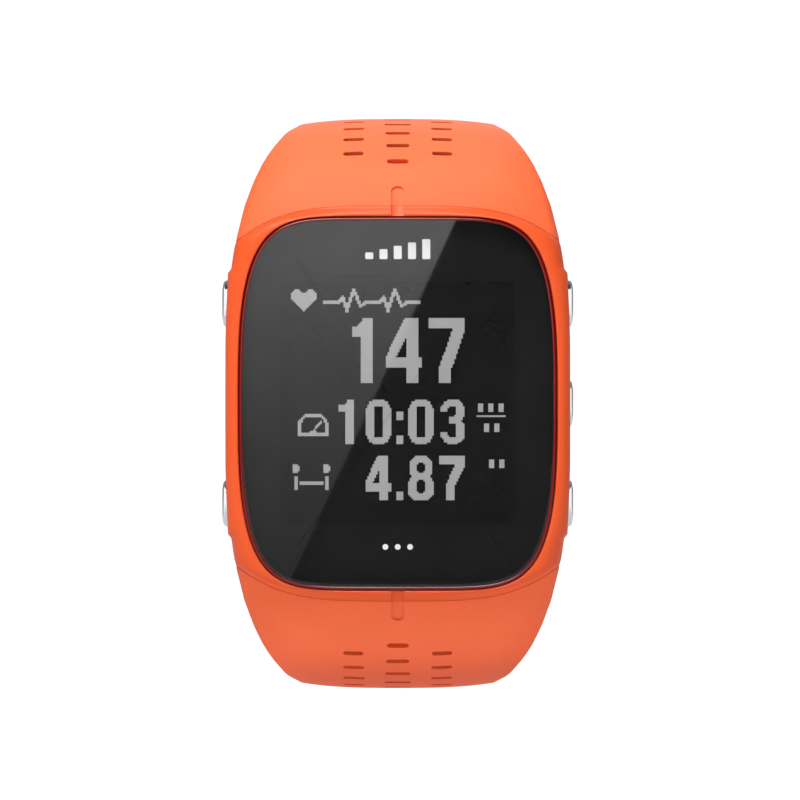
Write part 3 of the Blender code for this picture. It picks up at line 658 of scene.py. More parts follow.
# ---------------------------------------------------------------- straps
def path(arcs, along):
    """y, z and angle of the ridge line, for the strap on the +Z side."""
    angle = math.radians(START_DEG)
    y = ROOT_Y - ROOT_RADIUS * math.cos(angle)
    z = ROOT_Z + ROOT_RADIUS * math.sin(angle)
    for i, (radius, turn) in enumerate(arcs):
        part = min(along, radius * math.radians(turn)) if i < len(arcs) - 1 else along
        centre_y, centre_z = y + radius * math.cos(angle), z - radius * math.sin(angle)
        angle += part / radius
        y, z = centre_y - radius * math.cos(angle), centre_z + radius * math.sin(angle)
        along -= part
        if along <= 0:
            break
    return y, z, angle


def length(arcs):
    return sum(radius * math.radians(turn) for radius, turn in arcs)


def strap_point(arcs, along, x, depth, side):
    y, z, angle = path(arcs, along)
    return (x, y + depth * math.cos(angle), side * (z - depth * math.sin(angle)))


def strap_half(arcs, along, round_tip):
    if along <= CREST:
        half = strap_width(START_DEG + math.degrees(along / ROOT_RADIUS))
    else:
        # Distance past the crest, half width.
        taper = [(0, CREST_HALF), (8, 10.4), (26, 10.2), (60, 10.05), (200, 9.95)]
        half = lerp(taper, along - CREST)
    left = length(arcs) - along
    tip = 6.5
    if round_tip:
        if left < tip:
            half *= 1 - 0.72 * round_off((tip - left) / tip)
            if left < 0.6:
                half -= 0.9 * (0.6 - left) / 0.6
    elif left < 7:
        half -= 0.6 * ease(7, 1, left)
    return half


def strap_ring(arcs, along, side, round_tip):
    theta = min(START_DEG + math.degrees(along / ROOT_RADIUS), 120.0)
    half = strap_half(arcs, along, round_tip)
    left = length(arcs) - along
    thinning = 0.0
    if round_tip and left < 1.2:
        thinning = 0.9 * round_off((1.2 - left) / 1.2)
    radius = lerp(EDGE_RADIUS, theta)
    shares = (0, 0.1, 0.2, 0.3, 0.4, 0.5, 0.6, 0.68, 0.76, 0.83)
    xs = [share * half for share in shares if share * half < half - radius * 1.15]
    turns = (0, 12, 24, 36, 48, 60, 72, 82, 90)
    xs += [half - radius + radius * math.sin(math.radians(turn)) for turn in turns]
    outer = [(x, skin_depth(x, theta, half) + thinning) for x in xs]
    edge = outer[-1][1]
    floor = max(lerp(THICKNESS, along) - thinning, edge + 0.5)
    corner = min(0.55, (floor - edge) * 0.6)
    inner = [(half, edge + (floor - corner - edge) * share) for share in (0.5, 1.0)]
    for turn in (22, 45, 68, 90):
        angle = math.radians(turn)
        x = half - corner + corner * math.cos(angle)
        inner.append((x, floor - corner + corner * math.sin(angle)))
    inner += [(half * share, floor) for share in (0.85, 0.7, 0.55, 0.4, 0.27, 0.13, 0.0)]
    right = outer + inner
    left_half = [(-x, depth) for x, depth in reversed(right[1:-1])]
    return [strap_point(arcs, along, x, depth, side) for x, depth in right + left_half]


def even_ring(ring, count):
    if len(ring) == count:
        return ring
    return [tuple(point) for point in resample(ring + [ring[0]], count)[:-1]]


def stadium(half_x, half_along, steps=8):
    out = []
    for end in (1, -1):
        for i in range(steps + 1):
            angle = math.pi * i / steps - math.pi / 2
            x = end * (half_x - half_along + half_along * math.cos(angle))
            out.append((x, end * half_along * math.sin(angle)))
    return out


def slot_rings(arcs, along, x, half_x, side, depth, half_along=0.37):
    """Cutter for one slot, from above the skin down to the depth."""
    y, z, angle = path(arcs, along)
    cos, sin = math.cos(angle), math.sin(angle)
    return [
        [
            (x + across, y + down * cos + on * sin, side * (z - down * sin + on * cos))
            for across, on in stadium(half_x, half_along)
        ]
        for down in (-1.5, depth)
    ]


def keep_largest(ob):
    """Drops any sliver that a cut left loose."""
    bm = bmesh.new()
    bm.from_mesh(ob.data)
    seen, groups = set(), []
    for vert in bm.verts:
        if vert in seen:
            continue
        stack, group = [vert], []
        seen.add(vert)
        while stack:
            here = stack.pop()
            group.append(here)
            for edge in here.link_edges:
                other = edge.other_vert(here)
                if other not in seen:
                    seen.add(other)
                    stack.append(other)
        groups.append(group)
    groups.sort(key=len)
    for group in groups[:-1]:
        bmesh.ops.delete(bm, geom=group, context="VERTS")
    bm.to_mesh(ob.data)
    bm.free()


# Distances from the tip of the last rings.
ROUND_TIP = (5.6, 4.6, 3.7, 2.9, 2.2, 1.6, 1.1, 0.7, 0.4, 0.2, 0.08, 0.0)
FLAT_TIP = (6, 5, 4, 3, 2, 1.2, 0.6, 0.0)
# Slots: distance past the hinge, half width.
CENTRE_SLOTS = [(0, 1.15), (3, 1.24), (6, 1.33), (9, 1.41), (100, 1.45)]
SIDE_SLOTS = [(0, 1.07), (6, 1.12), (9, 1.16), (100, 1.2)]
SIDE_SLOT_END = 5.75  # x of the side slots' outer ends
SLOT_DEPTH = 2.1
SIDE_ROWS = 6
THROUGH_FROM = 4  # centre slots from this row on go through the strap


def strap(name, arcs, side, round_tip, steps, centre_rows):
    """One strap, cut off at the seam and slotted. Steps is the ring count past the crest."""
    total = length(arcs)
    bend_end = CREST + 4
    tip_start = total - (6.6 if round_tip else 7)
    stations = list(np.linspace(0, bend_end, 52))
    stations += list(np.linspace(bend_end, tip_start, steps))[1:]
    stations += [total - left for left in (ROUND_TIP if round_tip else FLAT_TIP)]
    rings = [strap_ring(arcs, along, side, round_tip) for along in stations]
    count = max(len(ring) for ring in rings)
    ob = loft(name, [even_ring(ring, count) for ring in rings], mat_strap, angle=40)

    # The case's outline with a hair of clearance.
    outline = [
        (x + (math.copysign(0.03, x) if abs(x) > 16.5 else 0), z + math.copysign(0.038, z))
        for x, z in FRAME
    ]
    cut(ob, loose("cut_case", [prism(outline, -6.0, 16.0)]))
    keep_largest(ob)

    cutters = []
    for k in range(centre_rows):
        along = HINGE + 0.35 + SLOT_PITCH * k
        depth = 1.0 if k == 0 else SLOT_DEPTH if k < THROUGH_FROM else 7.0
        half = lerp(CENTRE_SLOTS, along - HINGE)
        cutters.append(slot_rings(arcs, along, 0.0, half, side, depth))
    for k in range(SIDE_ROWS):
        along = HINGE + 1.8 + SLOT_PITCH * k
        half = lerp(SIDE_SLOTS, along - HINGE)
        for sign in (1, -1):
            x = sign * (SIDE_SLOT_END - half)
            cutters.append(slot_rings(arcs, along, x, half, side, SLOT_DEPTH, half_along=0.35))
    cut(ob, loose("cut_slots", cutters))
    cut(ob, channels, keep=True)
    return ob


upper = strap("upper_strap_skin", UPPER_ARCS, 1, round_tip=False, steps=40, centre_rows=9)
lower = strap("lower_strap_skin", LOWER_ARCS, -1, round_tip=True, steps=64, centre_rows=28)

# The upper strap ends in a loop around the buckle's pin, open in the middle for the tang.
UPPER_LEN = length(UPPER_ARCS)
_, PIN_Y, PIN_Z = strap_point(UPPER_ARCS, UPPER_LEN, 0, 1.36, 1)
PIN = (PIN_Y, PIN_Z)
END_ANGLE = path(UPPER_ARCS, UPPER_LEN)[2]
cut(upper, loose("join_loop", [rod(1.31, 9.4, PIN, 48)]), operation="UNION")
cut(upper, loose("cut_tang", [rod(2.12, 1.38, PIN, 48)]))
cut(upper, loose("cut_bore", [rod(0.84, 12, PIN, 32)]))

for ob, name, side in ((upper, "upper_strap", 1), (lower, "lower_strap", -1)):
    soften(ob, 38)
    bevel(ob, 0.025, angle=50)
    settle(ob)
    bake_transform(ob)
    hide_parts(name)
bpy.data.objects.remove(channels)

# Tongues that close the joint lines between case and strap from below.
for name, side in (("upper_seam_tongue", 1), ("lower_seam_tongue", -1)):
    rings = []
    for x in np.linspace(-16.99, 16.99, 81):
        low_z, high_z = seam_z(x) - 0.3, seam_z(x) + 0.3
        under = 0.14 + 0.2 * (abs(x) < 0.9)  # deeper below the channel
        low, high = skin_y(x, low_z) + under, skin_y(x, high_z) + under
        section = ((low, low_z), (high, high_z), (high + 1.1, high_z), (low + 1.1, low_z))
        rings.append([(x, y, side * z) for y, z in section])
    place(loft(name, rings, mat_case, angle=40), "case")

# ---------------------------------------------------------------- ring and lens
# Inset from the lens outline, y.
ring_profile = [
    (0.02, 1.2), (0.02, 0.42), (0.12, 0.4), (0.125, 0.16), (0.14, 0.1), (0.18, 0.06),
    (0.24, 0.045), (0.31, 0.05), (0.355, 0.08), (0.36, 0.14), (0.36, 1.2),
]
rings = [inset(depth, y) for depth, y in ring_profile]
ring = loft("accent_ring", rings, mat_ring, closed=True, angle=50)
place(ring, "case", "lens_accent_ring", slot="ring_red_anodised")
lens_profile = [
    (6.0, 0.0), (0.7, 0.0), (0.58, 0.0), (0.48, 0.02), (0.41, 0.07), (0.385, 0.14),
    (0.385, 1.26), (6.0, 1.26),
]
lens = loft("lens_glass", [inset(depth, y) for depth, y in lens_profile], mat_lens, angle=30)
place(lens, "case", "lens_crystal", slot="lens_glass")


def rect_at_angles(half_x, half_z, radius):
    """A rounded rectangle sampled at the lens outline's own angles, so they join untwisted."""
    shape = rounded_rect(half_x, half_z, radius, 12)
    shape = resample(shape + [shape[0]], 1200)[:-1]
    angles = np.arctan2(shape[:, 1], shape[:, 0])
    out = []
    for x, z in LENS[:, :2]:
        apart = np.abs(np.angle(np.exp(1j * (angles - math.atan2(z, x)))))
        out.append(tuple(shape[int(np.argmin(apart))]))
    return out


window = rect_at_angles(12.3, 12.75, 0.5)
rings = [inset(0.4, 1.28), inset(0.4, 1.33), at_depth(window, 1.33), at_depth(window, 1.28)]
place(loft("lens_mask", rings, mat_mask, closed=True, angle=30), "case")
panel = loft("display_panel", prism(rounded_rect(12.58, 12.98, 0.6), 1.34, 2.74), mat_cell)
bevel(panel, 0.05)
place(panel, "case", "lcd_panel", slot="display_panel_dark")

# ---------------------------------------------------------------- display cells
CELL = 0.18
CELL_FRONT, CELL_BACK = 1.295, 1.333  # y


def stroke(points, thick, width, height):
    """The cells of a width by height block whose middles lie on a line of this thickness."""
    on = set()
    for i in range(width):
        for j in range(height):
            for (x, y), (end_x, end_y) in zip(points, points[1:]):
                run, rise = end_x - x, end_y - y
                off_x, off_y = i + 0.5 - x, j + 0.5 - y
                share = (off_x * run + off_y * rise) / (run * run + rise * rise)
                share = min(max(share, 0.0), 1.0)
                if math.hypot(off_x - share * run, off_y - share * rise) <= thick / 2 + 0.08:
                    on.add((i, j))
    return on


def blocks(*boxes):
    """The cells of rectangles, each given as x0, y0, x1, y1."""
    return {(i, j) for x0, y0, x1, y1 in boxes for i in range(x0, x1) for j in range(y0, y1)}


def inside(x, y, outline):
    hit = False
    for (x0, y0), (x1, y1) in zip(outline, outline[1:] + outline[:1]):
        if (y0 > y) != (y1 > y) and x < x0 + (y - y0) * (x1 - x0) / (y1 - y0):
            hit = not hit
    return hit


def filled(outline, *holes):
    """The cells whose middles lie inside the outline and in none of the holes."""
    width, height = (math.ceil(max(column)) for column in zip(*outline))
    on = set()
    for i in range(width):
        for j in range(height):
            x, y = i + 0.5, j + 0.5
            if inside(x, y, outline) and not any(inside(x, y, hole) for hole in holes):
                on.add((i, j))
    return on


def chamfered(x0, y0, x1, y1, c=0.9):
    return [
        (x0, y0 + c), (x0 + c, y0), (x1 - c, y0), (x1, y0 + c),
        (x1, y1 - c), (x1 - c, y1), (x0 + c, y1), (x0, y1 - c),
    ]


# Bold condensed figures: outlines in cells, from the lower left corner.
LARGE = {
    "1": filled([
        (5, 0), (12, 0), (12, 38), (6, 38), (5.5, 36.4), (4.4, 34.8), (3, 33.5), (0, 33),
        (0, 27), (5, 27),
    ]),
    "4": filled([
        (12, 0), (19, 0), (19, 9), (21, 9), (21, 15.2), (19, 15.2), (19, 38), (11, 38),
        (0, 15.4), (0, 9), (12, 9),
    ], [(5.9, 15.2), (12, 15.2), (12, 27.3)]),
    "7": filled([
        (6, 0), (13.1, 0), (13.1, 7.4), (21, 30), (21, 38), (0, 38), (0, 32), (14.1, 32),
        (6, 8.2),
    ]),
}
SMALL = {
    "1": filled([
        (4, 0), (9, 0), (9, 26), (5.5, 26), (4.4, 24.2), (3, 23), (0, 23), (0, 19), (4, 19),
    ]),
    "0": filled([
        (0, 6), (0.8, 3.6), (2.4, 1.4), (5, 0), (10, 0), (12.6, 1.4), (14.2, 3.6), (15, 6),
        (15, 20), (14.2, 22.4), (12.6, 24.6), (10, 26), (5, 26), (2.4, 24.6), (0.8, 22.4),
        (0, 20),
    ], chamfered(5, 4, 10, 22)),
    ":": blocks((0, 0, 4, 5), (0, 14, 4, 19)),
    "3": filled([
        (0, 7), (0, 5.2), (1, 3.2), (2.5, 1.3), (5, 0), (9.5, 0), (12, 1.3), (13.5, 3.3),
        (14, 5.5), (14, 10.5), (13.2, 12.2), (12, 13.6), (13.2, 15), (14, 16.5), (14, 20.5),
        (13.4, 22.8), (12, 24.8), (9.5, 26), (5, 26), (2.5, 24.8), (1, 22.8), (0, 21), (0, 19),
        (4.2, 19), (4.2, 20.8), (5.2, 22), (8.2, 22), (9.2, 20.8), (9.2, 17.6), (8.2, 16.3),
        (5, 16.3), (5, 12), (8.2, 12), (9.2, 10.8), (9.2, 5.2), (8.2, 4.1), (5.2, 4.1),
        (4.2, 5.3), (4.2, 7),
    ]),
    "4": filled([
        (8, 0), (13, 0), (13, 5), (15, 5), (15, 10.1), (13, 10.1), (13, 26), (7, 26), (0, 11),
        (0, 5), (8, 5),
    ], [(4, 10.1), (8.05, 10.1), (8.05, 18.4)]),
    ".": blocks((0, 0, 4, 5)),
    "8": filled([
        (0, 4.5), (0.6, 3), (2, 1.2), (4.5, 0), (10.5, 0), (13, 1.2), (14.4, 3), (15, 4.5),
        (15, 10), (14.2, 11.8), (12.5, 14), (13.6, 15.6), (14.1, 17), (14.1, 21.2),
        (13.4, 23.4), (12, 25.1), (10, 26), (5, 26), (3, 25.1), (1.6, 23.4), (0.9, 21.2),
        (0.9, 17), (1.4, 15.6), (2.5, 14), (0.8, 11.8), (0, 10),
    ], chamfered(5, 16.2, 10, 21.8), chamfered(5, 4.2, 10, 11.8)),
    "7": filled([
        (4, 0), (9, 0), (9, 7.8), (15, 19.5), (15, 26), (0, 26), (0, 21), (9.2, 21), (4, 9),
    ]),
}


def cell_mesh(name, on, left, bottom, mat=mat_icon):
    """A closed relief of display cells, with the lower left corner of cell 0, 0 given."""
    verts, index, faces = [], {}, []

    def corner(i, j, back):
        key = (i, j, back)
        if key not in index:
            index[key] = len(verts)
            verts.append((left + i * CELL, CELL_BACK if back else CELL_FRONT, bottom + j * CELL))
        return index[key]

    for i, j in sorted(on):
        square = [(i, j), (i + 1, j), (i + 1, j + 1), (i, j + 1)]
        faces.append(tuple(corner(*at, 0) for at in square))
        faces.append(tuple(corner(*square[k], 1) for k in (0, 3, 2, 1)))
        for k, (step_i, step_j) in enumerate(((0, -1), (1, 0), (0, 1), (-1, 0))):
            if (i + step_i, j + step_j) not in on:
                start, end = square[k], square[(k + 1) % 4]
                faces.append((corner(*end, 0), corner(*start, 0), corner(*start, 1), corner(*end, 1)))
    place(raw_object(name, verts, faces, mat), "case")


# Name, figures, z of the bottom, then each character and its left edge.
LINES = [
    ("rate_figure", LARGE, 2.158, [("1", -4.795), ("4", -1.247), ("7", 3.247)]),
    ("pace_figure", SMALL, -4.274,
     [("1", -6.237), ("0", -3.374), (":", -0.142), ("0", 1.089), ("3", 4.5)]),
    ("distance_figure", SMALL, -10.179, [("4", -3.374), (".", -0.142), ("8", 1.089), ("7", 4.363)]),
]
for name, figures, bottom, items in LINES:
    for number, (character, left) in enumerate(items, 1):
        cell_mesh(f"{name}_{number}", figures[character], left, bottom, mat_digit)

# A heart and a trace of its beat, a gauge, a distance mark and unit bars.
heart_rows = [(j, max(7 - j, 0), min(7 + j, 14)) for j in range(11)]
heart_rows += [(11, 1, 5), (11, 9, 13), (12, 2, 4), (12, 10, 12)]
heart = {(i, j) for j, first, last in heart_rows for i in range(first, last + 1)}
beat_line = [
    (0, 6), (9, 6), (11.5, 9), (14, 1), (18, 13.2), (22, 3.5), (25, 6), (33, 6), (35.5, 9),
    (38, 1), (42, 13.2), (46, 3.5), (49, 6), (56, 6),
]
gauge = filled([
    (0, 0), (18, 0), (18, 7.5), (17, 9.5), (15.5, 11.4), (13, 12.8), (11.5, 13.5), (6.5, 13.5),
    (5, 12.8), (2.5, 11.4), (1, 9.5), (0, 7.5),
], [
    (2, 2), (16, 2), (16, 7), (15, 9), (13.5, 10.6), (11.5, 11.5), (6.5, 11.5), (4.5, 10.6),
    (3, 9), (2, 7),
])
gauge |= stroke([(9, 3), (13.6, 8)], 1.1, 18, 14) | blocks((7, 2, 11, 3))
drop = filled([(0, 1), (1, 0), (3, 0), (4, 1), (4, 4), (3, 5), (1, 5), (0, 4)])
two_bars = blocks((0, 0, 3, 5), (6, 0, 9, 5))
MARKS = [  # name, cells, left, bottom
    ("heart_mark", heart, -11.237, 9.684),
    ("beat_mark", stroke(beat_line, 1.7, 57, 15), -7.868, 9.579),
    ("gauge_mark", gauge, -10.521, -3.432),
    ("span_mark", blocks((0, 0, 2, 8), (18, 0, 20, 8), (3, 3, 17, 5)), -10.879, -9.105),
    ("span_mark_start", drop, -11.058, -7.305),
    ("span_mark_end", drop, -7.826, -7.305),
    ("unit_mark_bar", blocks((0, 0, 17, 1)), 8.289, -1.421),
    ("unit_mark_top", two_bars | blocks((12, 0, 15, 5)), 8.447, -0.895),
    ("unit_mark_low", two_bars, 9.079, -3.0),
    ("distance_unit_mark", two_bars, 9.605, -6.789),
]
for mark in MARKS:
    cell_mesh(*mark)

# ---------------------------------------------------------------- printed marks under the glass
PRINT_FRONT, PRINT_BACK = 1.245, 1.275  # y
for n in range(5):
    half = (0.7 + 0.35 * n) / 2
    outline = rounded_rect(0.42, half, 0.12, 5, centre_z=15.2 + half)
    outline = [(x - 3.0 + 1.5 * n, z) for x, z in outline]
    place(loft(f"signal_mark_{n + 1}", prism(outline, PRINT_FRONT, PRINT_BACK), mat_print), "case")
for n in range(3):
    rings = turned([(0.3, PRINT_FRONT), (0.3, PRINT_BACK)], 24, "y", (-1.3 + 1.3 * n, -15.1))
    place(loft(f"page_mark_{n + 1}", rings, mat_print), "case")

# ---------------------------------------------------------------- buttons
for name, (side, z) in BUTTONS.items():
    # A round stem, then a pill-shaped cap with a rounded rim.
    rings = turned([(0.65, side * 13.95), (0.65, side * 16.85)], 30, "x", (BUTTON_Y, z))
    rings.append(pill(side * 16.9, z, BUTTON_HALF, BUTTON_RADIUS))
    for degrees in range(0, 91, 10):
        angle = math.radians(degrees)
        x, shrink = side * (17.95 + 0.43 * math.sin(angle)), 0.5 * (1 - math.cos(angle))
        rings.append(pill(x, z, BUTTON_HALF - shrink, BUTTON_RADIUS - shrink))
    rings.append(pill(side * 18.45, z, 1.6, 0.35))
    rings.append(pill(side * 18.47, z, 1.3, 0.1))
    cap = loft(f"button_{name}_cap", rings, mat_button, angle=50)
    place(cap, f"button_{name}_body", f"button_{name}", slot="button_polished_steel")

# ---------------------------------------------------------------- back
CONTACT_Z = -12.4
CONTACTS = [(x, CONTACT_Z) for x in (-4.2, -1.4, 1.4, 4.2)]
corner_x, corner_z, out_x, out_z = lens_quarter(12)[7]
SCREW_X, SCREW_Z = corner_x - 2.6 * out_x, corner_z - 2.6 * out_z
SCREWS = [(sx * SCREW_X, sz * SCREW_Z) for sx, sz in ((-1, 1), (1, 1), (1, -1), (-1, -1))]


def round_ring(radius, y):
    """A circle sampled at the lens outline's own angles."""
    ring = []
    for x, z in LENS[:, :2]:
        size = math.hypot(x, z)
        ring.append((radius * x / size, y, radius * z / size))
    return ring


# Radius, y: the stepped opening for the sensor window.
opening = [
    (9.6, 9.15), (9.6, 9.7), (7.4, 9.7), (7.4, 10.1), (8.8, 10.1), (8.8, 10.85), (8.86, 10.96),
    (9.0, 11.0),
]
# Inset from the lens outline, y: the outside, from the flat back round to the case.
shell = [
    (4.1, 11.0), (3.5, 10.985), (2.9, 10.93), (2.3, 10.83), (1.8, 10.68), (1.4, 10.48),
    (1.0, 10.18), (0.75, 9.85), (0.55, 9.4), (0.42, 9.0), (0.36, 8.78), (0.58, 8.75),
]
rings = [inset(0.58, 9.15)] + [round_ring(radius, y) for radius, y in opening]
rings += [inset(depth, y) for depth, y in shell]
cover = loft("back_shell", rings, mat_black, closed=True, angle=38)
screw_hole = [(0.56, 8.4), (0.56, 10.2), (1.05, 10.2), (1.05, 11.6)]
contact_hole = [(0.66, 8.6), (0.66, 11.6)]
holes = [turned(screw_hole, 28, "y", centre) for centre in SCREWS]
holes += [turned(contact_hole, 28, "y", centre) for centre in CONTACTS]
cut(cover, loose("cut_cover", holes))
groove = rounded_rect(6.6, 1.9, 1.85, 10, centre_z=CONTACT_Z)
cut(cover, loose("cut_groove", [prism(groove, 10.88, 11.6)]))
soften(cover, 38)
bevel(cover, 0.06, angle=50)
place(cover, "case", "back_cover", slot="back_cover_polymer")

# Radius, y.
screw_profile = [
    (0.42, 5.6), (0.45, 5.8), (0.45, 10.28), (0.95, 10.28), (0.95, 10.6), (0.9, 10.69),
    (0.82, 10.72),
]
for i, (x, z) in enumerate(SCREWS, 1):
    rings = turned(screw_profile, 36, "y", (x, z))
    screw = loft(f"back_screw_{i}_head", rings, mat_steel, angle=40)
    star = []
    for k in range(24):
        angle = math.radians(15 * k)
        radius = 0.5 + 0.09 * math.cos(math.radians(90 * k))
        star.append((x + radius * math.cos(angle), z + radius * math.sin(angle)))
    cut(screw, loose("cut_star", [prism(star, 10.45, 11.0)]))
    screw.data.set_sharp_from_angle(angle=math.radians(40))
    place(screw, "case", f"back_screw_{i}", slot="screw_steel")

dome = [
    (8.5, 10.16), (8.5, 11.0), (8.47, 11.12), (8.38, 11.26), (8.22, 11.4), (8.0, 11.53),
    (7.7, 11.66), (7.3, 11.79), (6.8, 11.9), (6.3, 11.97), (5.7, 12.0), (3.0, 12.0),
]
glass = loft("sensor_glass", turned(dome, 96, "y"), mat_window, angle=40)
place(glass, "case", "sensor_window", slot="sensor_window")

for i in range(4):
    angle = math.radians(45 + 90 * i)
    centre_x, centre_z = 5.2 * math.cos(angle), 5.2 * math.sin(angle)
    rings = []
    for y, share in ((9.5, 1.0), (9.8, 1.0), (9.87, 0.93), (9.9, 0.8)):
        outline = rounded_rect(0.7 * share, 0.7 * share, 0.12, 5)
        rings.append([(centre_x + x, y, centre_z + z) for x, z in outline])
    led = loft(f"sensor_led_{i + 1}_lens", rings, mat_led)
    place(led, "case", f"sensor_led_{i + 1}", slot="led_green")

contact_profile = [(0.55, 9.4), (0.55, 10.9), (0.5, 10.97), (0.4, 11.0), (0.15, 11.0)]
for i, centre in enumerate(CONTACTS, 1):
    rings = turned(contact_profile, 32, "y", centre)
    pin = loft(f"charge_contact_{i}_pin", rings, mat_gold)
    place(pin, "case", f"charge_contact_{i}", slot="contact_gold")


# ---------------------------------------------------------------- buckle
REACH = 9.6  # from the pin to the buckle's far bar
EYE_RADIUS = 0.82


def buckle_point(x, along, out):
    """A place from the pin: along the strap's end direction, and out from its skin."""
    sin, cos = math.sin(END_ANGLE), math.cos(END_ANGLE)
    return (x, PIN_Y + along * sin - out * cos, PIN_Z + along * cos + out * sin)


def catmull(points, steps):
    """A smooth line through the points."""
    points = [np.array(point, float) for point in points]
    points = [2 * points[0] - points[1], *points, 2 * points[-1] - points[-2]]
    out = []
    for a, b, c, d in zip(points, points[1:], points[2:], points[3:]):
        for k in range(steps):
            t = k / steps
            bend = (2 * a - 5 * b + 4 * c - d) * t * t + (3 * b - a - 3 * c + d) * t**3
            out.append(0.5 * (2 * b + (c - a) * t + bend))
    out.append(points[-2])
    return out


def bar_section(half_width, half_thick, count=20, power=3.0):
    out = []
    for k in range(count):
        angle = 2 * math.pi * (k + 0.5) / count
        cos, sin = math.cos(angle), math.sin(angle)
        across = half_width * math.copysign(abs(cos) ** (2 / power), cos)
        out.append((across, half_thick * math.copysign(abs(sin) ** (2 / power), sin)))
    return out


# Half of the U-shaped frame: x, along, out, half width, half thickness.
u_path = [
    (-10.75, -1.45, 0.0, 0.72, 1.25), (-10.75, 0.0, 0.0, 0.75, 1.3),
    (-10.75, 1.6, 0.0, 0.75, 1.15), (-10.75, 4.0, 0.05, 0.82, 0.95),
    (-10.75, 6.4, 0.1, 0.85, 0.85), (-10.25, 8.3, 0.18, 0.86, 0.85),
    (-8.6, 9.4, 0.24, 0.86, 0.85), (-6.5, REACH, 0.25, 0.86, 0.85),
    (-2.5, REACH, 0.25, 0.86, 0.82),
]
u_path += [(-x, *rest) for x, *rest in reversed(u_path)]
line = catmull(u_path, 8)
rings = []
for i, (x, along, out, half_width, half_thick) in enumerate(line):
    before, after = line[max(i - 1, 0)], line[min(i + 1, len(line) - 1)]
    run_x, run_along = after[0] - before[0], after[1] - before[1]
    size = math.hypot(run_x, run_along)
    side_x, side_along = -run_along / size, run_x / size
    rings.append([
        buckle_point(x + side_x * across, along + side_along * across, out + rise)
        for across, rise in bar_section(half_width, half_thick)
    ])
buckle = loft("buckle_frame_bar", rings, mat_brushed, angle=60)
cut(buckle, loose("cut_eye", [rod(EYE_RADIUS, 13, PIN)]))
soften(buckle, 45)
bevel(buckle, 0.08, angle=60)
place(buckle, "buckle_body", "buckle_frame", slot="buckle_brushed_steel")

# Along, out, half thickness, half width.
tang_line = [
    (-1.2, 0.0, 0.75, 1.0), (-0.9, 0.0, 1.12, 1.0), (0.0, 0.0, 1.26, 1.0), (0.9, 0.1, 1.15, 1.0),
    (1.8, 0.4, 0.85, 0.95), (3.2, 0.75, 0.6, 0.88), (5.2, 1.15, 0.52, 0.85),
    (7.6, 1.62, 0.48, 0.85), (REACH, 1.72, 0.42, 0.82), (REACH + 0.7, 1.72, 0.3, 0.6),
]
rings = [
    [buckle_point(x, along, out + rise) for x, rise in bar_section(half_width, half_thick)]
    for along, out, half_thick, half_width in catmull(tang_line, 6)
]
tang = loft("buckle_tang_bar", rings, mat_brushed, angle=60)
cut(tang, loose("cut_tang_eye", [rod(EYE_RADIUS, 3, PIN)]))
soften(tang, 45)
place(tang, "tang_body", "buckle_tang", slot="buckle_brushed_steel")


def spring_bar(name, body, node, centre, half_length, shoulder, end_radius):
    """A bar along X with thinner ends from the shoulder out."""
    half = [
        (0.5, half_length), (end_radius, half_length - 0.1), (end_radius, shoulder),
        (0.75, shoulder - 0.05),
    ]
    profile = [(radius, -x) for radius, x in half] + half[::-1]
    bar = loft(name, turned(profile, 32, "x", centre), mat_steel)
    place(bar, body, node, slot="spring_bar_steel")


spring_bar(
    "buckle_spring_bar", "upper_strap_body", "buckle_pin", PIN,
    half_length=11.2, shoulder=10.2, end_radius=0.62,
)
for name, side in (("upper", 1), ("lower", -1)):
    spring_bar(
        f"{name}_spring_bar", "case", f"{name}_strap_pin", (HINGE_Y, side * HINGE_Z),
        half_length=8.2, shoulder=7.4, end_radius=0.6,
    )

# ---------------------------------------------------------------- keeper
KEEPER_ALONG = UPPER_LEN - 9.5


def keeper_ring(half_x, inner, outer, offset, corner):
    """A rounded rectangle around the strap, between its inner and outer depth."""
    y, z, lean = path(UPPER_ARCS, KEEPER_ALONG)
    sin, cos = math.sin(lean), math.cos(lean)
    reach = half_x - corner
    ring = []
    for centre_x, centre_depth, start in (
        (reach, outer + corner, -90), (reach, inner - corner, 0),
        (-reach, inner - corner, 90), (-reach, outer + corner, 180),
    ):
        for turn in range(0, 91, 10):
            angle = math.radians(start + turn)
            depth = centre_depth + corner * math.sin(angle)
            x = centre_x + corner * math.cos(angle)
            ring.append((x, y + offset * sin + depth * cos, z + offset * cos - depth * sin))
    return ring


# Half of the band's section: half x, inner and outer depth, offset along, corner radius.
keeper_profile = [
    (10.88, 3.28, -3.03, -1.9, 1.0), (11.0, 3.4, -3.15, -2.3, 1.1),
    (11.35, 3.7, -3.45, -2.4, 1.3), (11.75, 4.1, -3.85, -2.36, 1.6),
    (12.05, 4.36, -4.12, -2.05, 1.8), (12.15, 4.45, -4.2, -1.3, 1.9),
    (12.15, 4.45, -4.2, 0.0, 1.9),
]
keeper_profile += [(*size, -offset, corner) for *size, offset, corner in keeper_profile[-2::-1]]
rings = [keeper_ring(*row) for row in keeper_profile]
keeper = loft("keeper_loop", rings, mat_strap, closed=True, angle=60)
place(keeper, "keeper_body", "strap_keeper", slot="keeper_orange_silicone")

